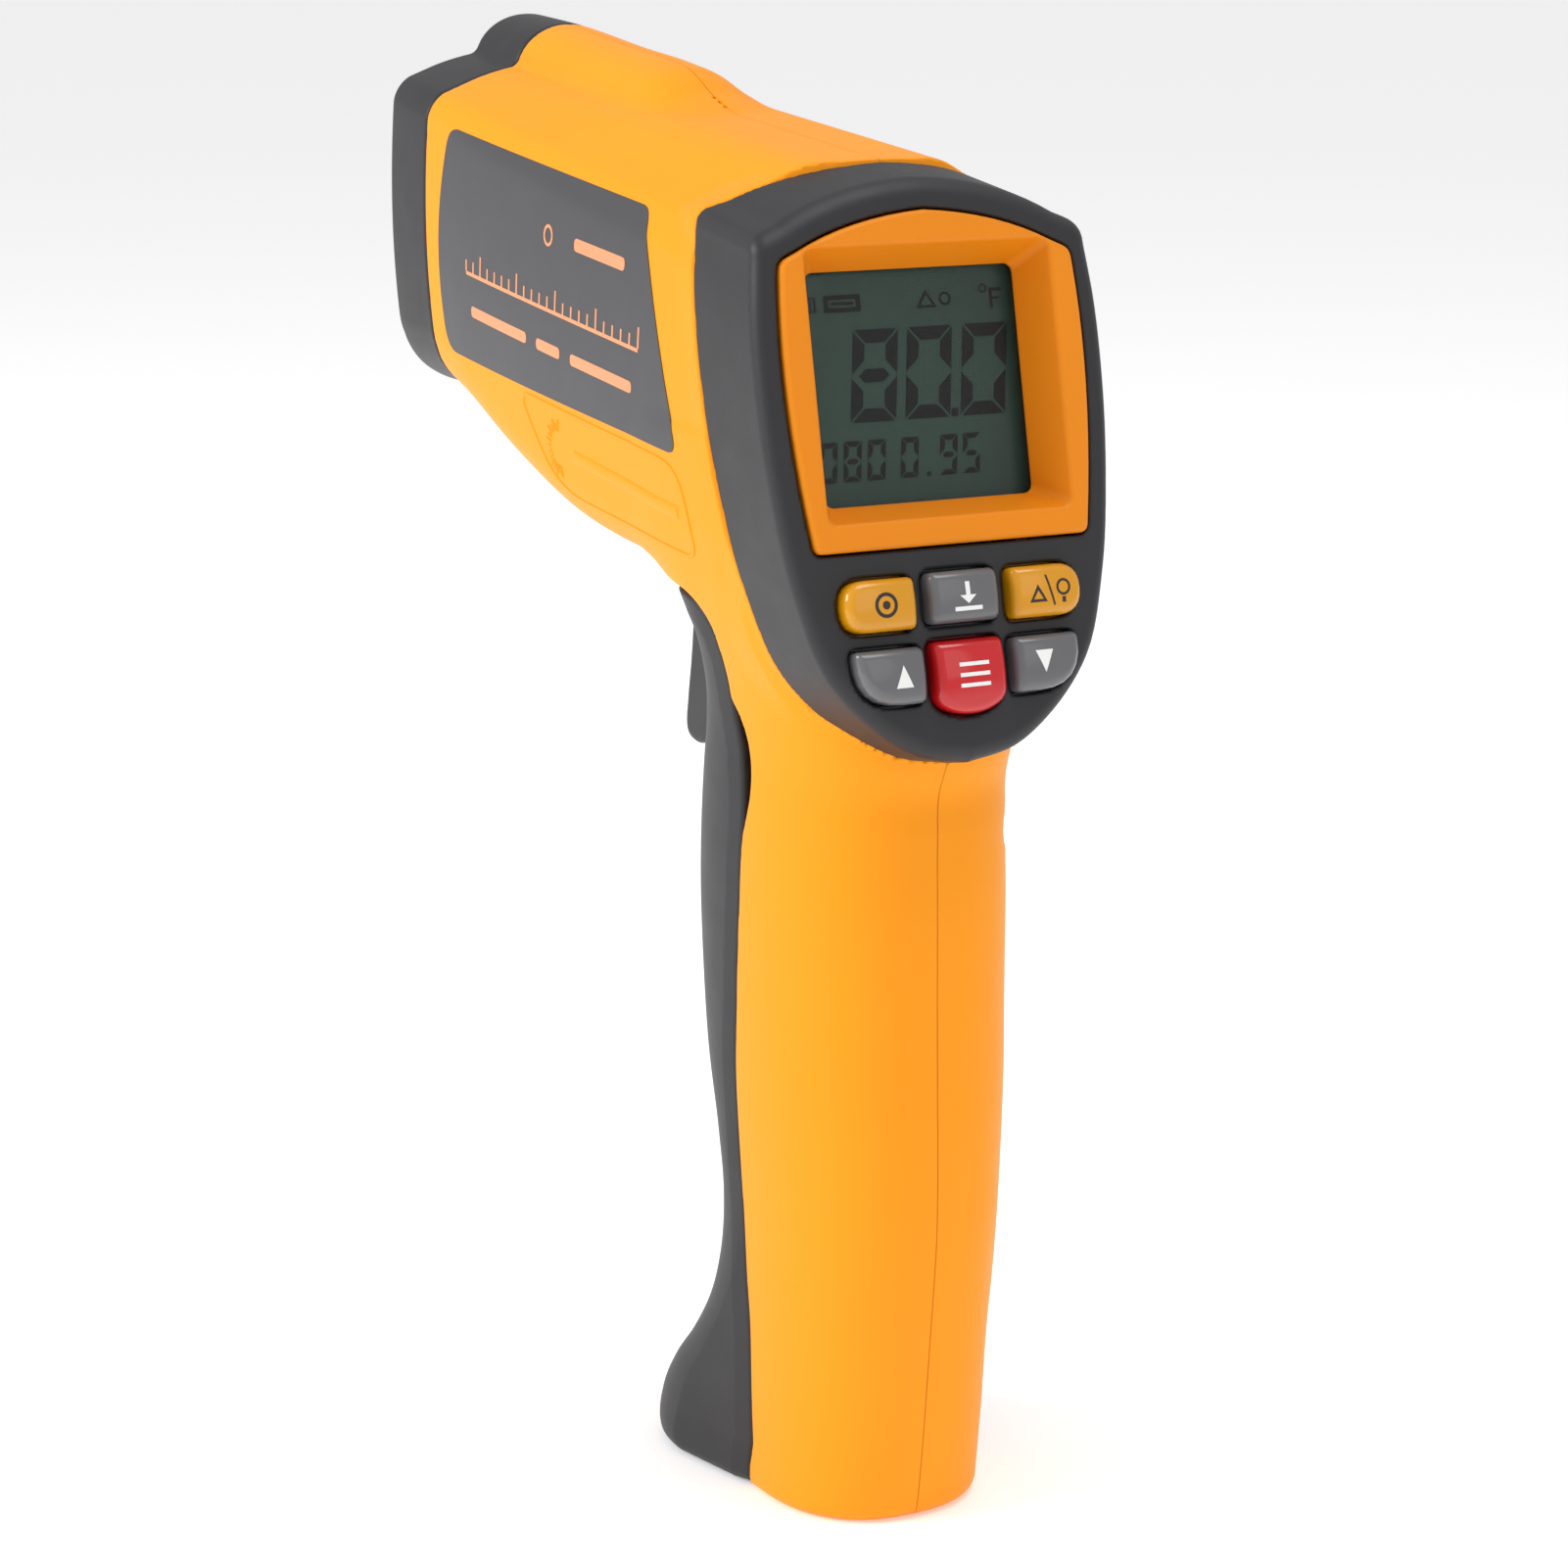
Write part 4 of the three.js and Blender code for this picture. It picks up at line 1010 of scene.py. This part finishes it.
def display():
    moulding("display_frame", display_frame, (-25.5, -1.5, -2), (25.5, 49, 9), 0.32, ORANGE_FRAME,
             "body", face=True)
    ink = []
    for digit, left in (("8", -10.4), ("0", -1.5), ("0", 7.6)):
        ink += seven_segment(digit, left, 18.4, 7.4, 13.2, 1.95)
    ink += [[sheared(bar(6.1, 7.2, 18.4, 19.6), 18.4)]]
    for digit, left in (("0", -3.2), ("9", 3.2), ("5", 7)):
        ink += seven_segment(digit, left, 10.1, 2.9, 5.8, 0.8)
    ink += [[bar(1.2, 1.9, 10.1, 10.8)]]
    for i in range(3):
        ink += seven_segment("8" if i == 1 else "0", -16.4 + 3.9 * i, 10.1, 2.9, 5.8, 0.8)
    ink += [[bar(-16.6, -14.2, 34.3, 36.6), bar(-16.2, -14.6, 34.7, 36.2)[::-1]],
            [bar(-15.8, -15.5, 34.9, 36)], [bar(-15.2, -14.9, 34.9, 36)],
            [bar(-13, -7, 34.2, 36.7, 0.3), bar(-12.2, -7.8, 34.9, 36)[::-1]],
            [bar(-11.8, -8.2, 35.2, 35.7)],
            [[(2, 34.2), (5.4, 34.2), (3.7, 36.9)], [(2.7, 34.6), (3.7, 36.1), (4.7, 34.6)]],
            ring(6.8, 35.4, 1, 0.35), ring(13.2, 36.6, 0.7, 0.28),
            [bar(14.2, 14.7, 33.6, 36.6)], [bar(14.7, 16.2, 36.1, 36.6)],
            [bar(14.7, 15.8, 34.9, 35.3)]]
    marks("lcd_segments", ink, on_face(8), LCD_INK, "body", 0.04, 0.03, 20)


KEY_FINISHES = {"key_set": AMBER, "key_light": AMBER, "key_mode": RED}


def keypad():
    for name, (key_u, key_s) in KEYS.items():
        moulding(name, key_field(name), (key_u - 8, key_s - 8, -3.6), (key_u + 8, key_s + 7, 7),
                 0.22, KEY_FINISHES.get(name, GREY), key_body(name), face=True)


def key_body(name):
    return name.removeprefix("key_") + "_key"


def key_symbols():
    symbols = {
        "key_set": ([ring(0.3, 0, 1.8, 0.5), [disc(0.3, 0, 0.6)]], DARK_PRINT),
        "key_store": ([[bar(-2.2, 2.2, -2.1, -1.5)], [[(-1.3, 0.1), (0, -1.1), (1.3, 0.1)]],
                       [bar(-0.35, 0.35, 0.1, 2)]], WHITE_PRINT),
        "key_light": ([ring(2.2, 0.3, 1.2, 0.35), [bar(1.9, 2.5, -1.9, -1.1)],
                       [[(-3.4, -1.6), (-0.6, -1.6), (-2, 0.9)],
                        [(-2.8, -1.2), (-2, 0.1), (-1.2, -1.2)]],
                       [stroke((-0.6, 2.2), (0.6, -2.2), 0.3)]], DARK_PRINT),
        "key_up": ([[[(-0.1, -1.6), (2.7, -1.6), (1.3, 1.6)]]], WHITE_PRINT),
        "key_mode": ([[bar(-2.4, 2.4, low, low + 0.55)] for low in (-1.8, -0.3, 1.2)], WHITE_PRINT),
        "key_down": ([[[(-2.5, 1.8), (-1.1, -1.4), (0.3, 1.8)]]], WHITE_PRINT),
    }
    for name, (shapes, ink) in symbols.items():
        slot = SLOTS[KEY_FINISHES.get(name, GREY)]
        marks(f"{name}_symbol", shapes, on_key(name), ink, key_body(name), 0.04, 0.3, 1.5,
              slot=slot)


LABEL = [(112, 204.3, 3.6), (37.6, 196.5, 3.2), (25.6, 161.6, 3), (115.2, 167.8, 4.2),
         (117.2, 186, 12)]


def lathe(profile, sides):
    """Points and triangles of an outline of (along, radius) points turned about the X axis."""
    turn = 2 * math.pi * np.arange(sides) / sides
    points, rings = [], []
    for along, radius in profile:
        start = len(points)
        if radius == 0:
            points.append((along, 0, 0))
            rings.append([start] * sides)
        else:
            points += [(along, radius * math.cos(a), radius * math.sin(a)) for a in turn]
            rings.append(list(range(start, start + sides)))
    faces = []
    for one, two in zip(rings, rings[1:] + rings[:1]):
        for i in range(sides):
            j = (i + 1) % sides
            faces += [(one[i], two[i], two[j]), (one[i], two[j], one[j])]
    faces = [face for face in faces if len(set(face)) == 3]
    points, faces = np.array(points), np.array(faces)
    a, b, c = (points[faces[:, k]] for k in range(3))
    if (a * np.cross(b, c)).sum() < 0:
        faces = faces[:, ::-1]
    return points, faces


def turned_piece(name, profile, middle, material, axes=(0, 1, 2), sides=72, **more):
    """A piece turned about a line through middle, along X or the first of the axes swapped."""
    points, faces = lathe(profile, sides)
    if axes != (0, 1, 2):
        points, faces = points[:, axes], faces[:, ::-1]
    made = piece(name, points + middle, faces, material, "body", **more)
    made.data.set_sharp_from_angle(angle=math.radians(32))


def optics():
    tube_inside = TUBE_RADIUS - 2
    rim = tube_inside - GAP
    on_axis, on_laser = (0, 0, OPTIC_Z), (0, 0, LASER_Z)
    tube = rounded([(86, tube_inside, 0.3), (86, TUBE_RADIUS, 0.4), (124, TUBE_RADIUS, 0.4),
                    (124, tube_inside, 0.3)], 3)
    lens = np.r_[bezier((119.4, 0), (119.4, 6), (120.8, rim)),
                 bezier((122.6, rim), (123.9, 6), (123.9, 0))]
    ring_section = rounded([(124.3, 9.6, 0.2), (124.3, 12.8, 0.3), (126.4, 12.8, 0.5),
                            (126.4, 10.6, 0.3), (125.4, 9.6, 0.2)], 3)
    can = rounded([(85.9, 0), (85.9, 4.6, 0.3), (90, 4.6, 0.6), (90, 3.2, 0.1), (91, 3.2, 0.3),
                   (91, 0)], 3)
    laser = rounded([(97, 0), (97, 3, 0.3), (100, 3, 0.1), (100, 4, 0.4), (122, 4, 0.4),
                     (122, 0)], 3)
    window = rounded([(135, 0), (135, 2.7, 0.1), (136.2, 2.7, 0.3), (136.2, 0)], 3)
    for node, profile, middle, material in (
            ("lens_tube", tube, on_axis, BLACK), ("lens", lens, on_axis, GLASS),
            ("lens_ring", ring_section, on_axis, BLACK), ("sensor_can", can, on_axis, STEEL),
            ("laser_module", laser, on_laser, BRASS), ("laser_window", window, on_laser, GLASS)):
        turned_piece(f"{node}_turned", profile, middle, material, replaced=[node])


def pins():
    for node, x, z, reach in (("trigger_pin", TRIGGER_PIN_X, TRIGGER_PIN_Z, 14.6),
                              ("door_pin", HINGE_X, HINGE_Z, DOOR_PIN_HALF)):
        profile = rounded([(-reach, 0), (-reach, 1.5, 0.3), (reach, 1.5, 0.3), (reach, 0)], 3)
        turned_piece(f"{node}_turned", profile, (x, 0, z), STEEL, (1, 0, 2), replaced=[node])


def screw_field(screw_x, screw_z):
    """A self-tapping screw with a cross recess, its head to the instrument's right."""
    def field(x, y, z):
        a, b = x - screw_x, z - screw_z
        radius = np.hypot(a, b)
        head = both(radius - 2.7, np.abs(y + 13.1) - 0.8 + 0.05 * radius**2 * (y < -13.1), 0.3)
        thread = 0.12 * np.cos(2 * math.pi * y / 1.1 + np.arctan2(b, a))
        shaft = both((radius - 1.02 - thread) * 0.85, np.maximum(y - 8 + radius, -13 - y))
        arms = np.minimum(np.maximum(np.abs(a) - 0.35, np.abs(b) - 1.6),
                          np.maximum(np.abs(b) - 0.35, np.abs(a) - 1.6))
        return without(np.minimum(head, shaft), np.maximum(arms, y + 13.2))
    return field


def screws():
    for i, (x, z) in enumerate(SCREWS):
        moulding(f"housing_screw_{i + 1}", screw_field(x, z), (x - 3.2, -14.6, z - 3.2),
                 (x + 3.2, 8.6, z + 3.2), 0.2, STEEL, "body")


BATTERY_X = 15.5


def battery_field(x, y, z):
    a, b, c = np.abs(x - BATTERY_X) - 8.7, np.abs(y) - 13.1, np.abs(z - 62.2) - 24.2
    return both(both(a, b, 2.4), c, 0.8)


def snap_field(x, y, z):
    a, b, c = np.abs(x - BATTERY_X) - 5, np.abs(y) - 12.6, np.abs(z - 90.6) - 1.4
    return both(both(a, b, 4.4), c, 0.6)


def battery():
    moulding("battery", battery_field, (6, -14, 37), (25, 14, 87.4), 0.6, BATTERY_BLUE, "body")
    moulding("battery_snap", snap_field, (10, -13.4, 88.4), (21, 13.4, 92.8), 0.4, CHIP, "body")
    for name, y, radius in (("small", 6.3, 2.7), ("large", -6.3, 3.6)):
        profile = rounded([(86.2, 0), (86.2, radius, 0.2), (88.8, radius * 0.9, 0.3), (88.8, 0)], 3)
        turned_piece(f"battery_terminal_{name}", profile, (15.2, y, 0), STEEL, (2, 1, 0), 40,
                     slot="battery_case")


SCALE_LENGTH, SCALE_RISE = 69.2, 6.1


def label_print():
    """A scale with ticks and plain bars."""
    def laid(points):
        return turned(points, (36.5, 175), math.atan2(SCALE_RISE, SCALE_LENGTH))

    shapes = [[laid(bar(38, 104, 175.2, 175.8))]]
    for i in range(23):
        tall = 3.2 if i % 5 == 0 else 1.8
        shapes.append([laid(bar(38 + 3 * i - 0.25, 38 + 3 * i + 0.25, 175.8, 175.8 + tall))])
    for start, length in ((40, 22), (66, 9), (79, 23)):
        shapes.append([laid(bar(start, start + length, 168.6, 170.4, 0.8))])
    shapes.append([laid(bar(44, 62, 186.2, 188.2, 0.9))])
    shapes.append(ring(70.5, 190, 1.7, 0.5))
    return shapes


def labels():
    outline = rounded(LABEL, 8)
    shapes = label_print()
    for node, side in (("label_left", 1), ("label_right", -1)):
        marks(f"{node}_film", [[outline]], on_side(side), LABEL_GREY, "body", 0.14, 0.5, 1.6,
              side > 0, [node])
        marks(f"{node}_print", shapes, on_side(side), PEACH, "body", 0.18, 0.1, 2.5, side > 0)


def relief():
    """The moulded panel below the label: an outline and a beam, with rays where no screw is."""
    frame_line = rounded([(84.4, 164.6, 5), (25.4, 160, 6), (21.4, 146.4, 4.5),
                          (71.6, 150.4, 9)], 6)
    for name, side in (("left", 1), ("right", -1)):
        place = on_side(side)
        parts = [bead(resampled(frame_line, 1.2), 0.7, 0.22, place, closed=True)]
        beam = spline([(64, 156.6), (60, 156.2), (44, 154.6), (29, 153.2), (26, 153)], 8)
        parts.append(bead(beam, 2.6, 0.25, place))
        middle = np.array([69.6, 157.1])
        for i in range(15 if side > 0 else 0):
            angle = math.radians(-100 + 200 * i / 14)
            way = np.array([math.cos(angle), math.sin(angle)])
            reach = (2.5, 2.8, 3.9, 4.2) if i % 2 else (2.5, 2.8, 4.5, 4.8)
            parts.append(bead([middle + way * r for r in reach], 0.45, 0.22, place))
        points, faces = joined(parts)
        piece(f"relief_{name}", points, faces if side < 0 else faces[:, ::-1], ORANGE, "body")


def resampled(loop, spacing):
    """A closed outline with evenly spaced points."""
    loop = np.r_[loop, loop[:1]]
    along = np.r_[0, np.cumsum(np.linalg.norm(np.diff(loop, axis=0), axis=1))]
    at = np.linspace(0, along[-1], int(along[-1] / spacing) + 1)[:-1]
    return np.stack([np.interp(at, along, loop[:, k]) for k in (0, 1)], 1)


NODE_FINISHES = {
    "sensor_board": CIRCUIT, "lcd_window": CLEAR, "lcd_panel": LCD_GREEN, "backlight": DIFFUSER,
    "zebra_strip": SILICONE, "main_board": CIRCUIT, "buzzer": CHIP, "processor": CHIP,
    "keypad_mat": SILICONE, "trigger_spring": STEEL, "trigger_switch": CHIP,
    "lead_red": WIRE_RED, "lead_black": WIRE_BLACK,
}


def carried_over():
    """CAD nodes that are shown as they are."""
    for name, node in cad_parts.items():
        if node.hide_render:
            continue
        node.data.materials.clear()
        node.data.materials.append(NODE_FINISHES[name])


# ---- camera, floor and light -------------------------------------------------------------------


def camera():
    data = bpy.data.cameras.new("camera")
    data.lens = 36 * 4000 / 1601
    made = bpy.data.objects.new("camera", data)
    azimuth, elevation = math.radians(27.334), math.radians(13.046)
    forward = Vector((math.cos(azimuth) * math.cos(elevation),
                      -math.sin(azimuth) * math.cos(elevation), -math.sin(elevation)))
    made.location = to_frame((-485.285, 273.471, 243.874))
    made.rotation_euler = forward.to_track_quat("-Z", "Y").to_euler()
    bpy.context.scene.collection.objects.link(made)
    bpy.context.scene.camera = made


def area_light(name, place, size, power):
    data = bpy.data.lights.new(name, "AREA")
    data.shape = "DISK"
    data.size = size
    data.energy = power
    made = bpy.data.objects.new(name, data)
    made.location = place
    made.rotation_euler = (Vector((0, 0, 0.12)) - made.location).to_track_quat("-Z", "Y").to_euler()
    bpy.context.scene.collection.objects.link(made)


def studio():
    bpy.ops.mesh.primitive_plane_add(size=80)
    floor = bpy.context.object
    floor.name = "floor"
    white = finish("floor_white", linear(252, 252, 252), 0.7, spread=0.0)
    shader = next(node for node in white.node_tree.nodes if node.type == "BSDF_PRINCIPLED")
    shader.inputs["Emission Color"].default_value = (1, 1, 1, 1)
    shader.inputs["Emission Strength"].default_value = 0.26
    floor.data.materials.append(white)
    world = bpy.data.worlds.new("studio")
    world.use_nodes = True
    world.node_tree.nodes["Background"].inputs["Color"].default_value = (1, 1, 1, 1)
    world.node_tree.nodes["Background"].inputs["Strength"].default_value = 0.62
    bpy.context.scene.world = world
    area_light("key", (0.25, 1.2, 0.8), 0.7, 11.5)
    area_light("front", (-1.2, -0.3, 0.6), 0.6, 0.6)
    area_light("top", (-0.3, -0.2, 1.4), 0.8, 6)
    bpy.context.scene.view_settings.view_transform = "Standard"


camera()
studio()
housings()
black_mouldings()
display()
keypad()
key_symbols()
labels()
relief()
optics()
pins()
screws()
battery()
carried_over()
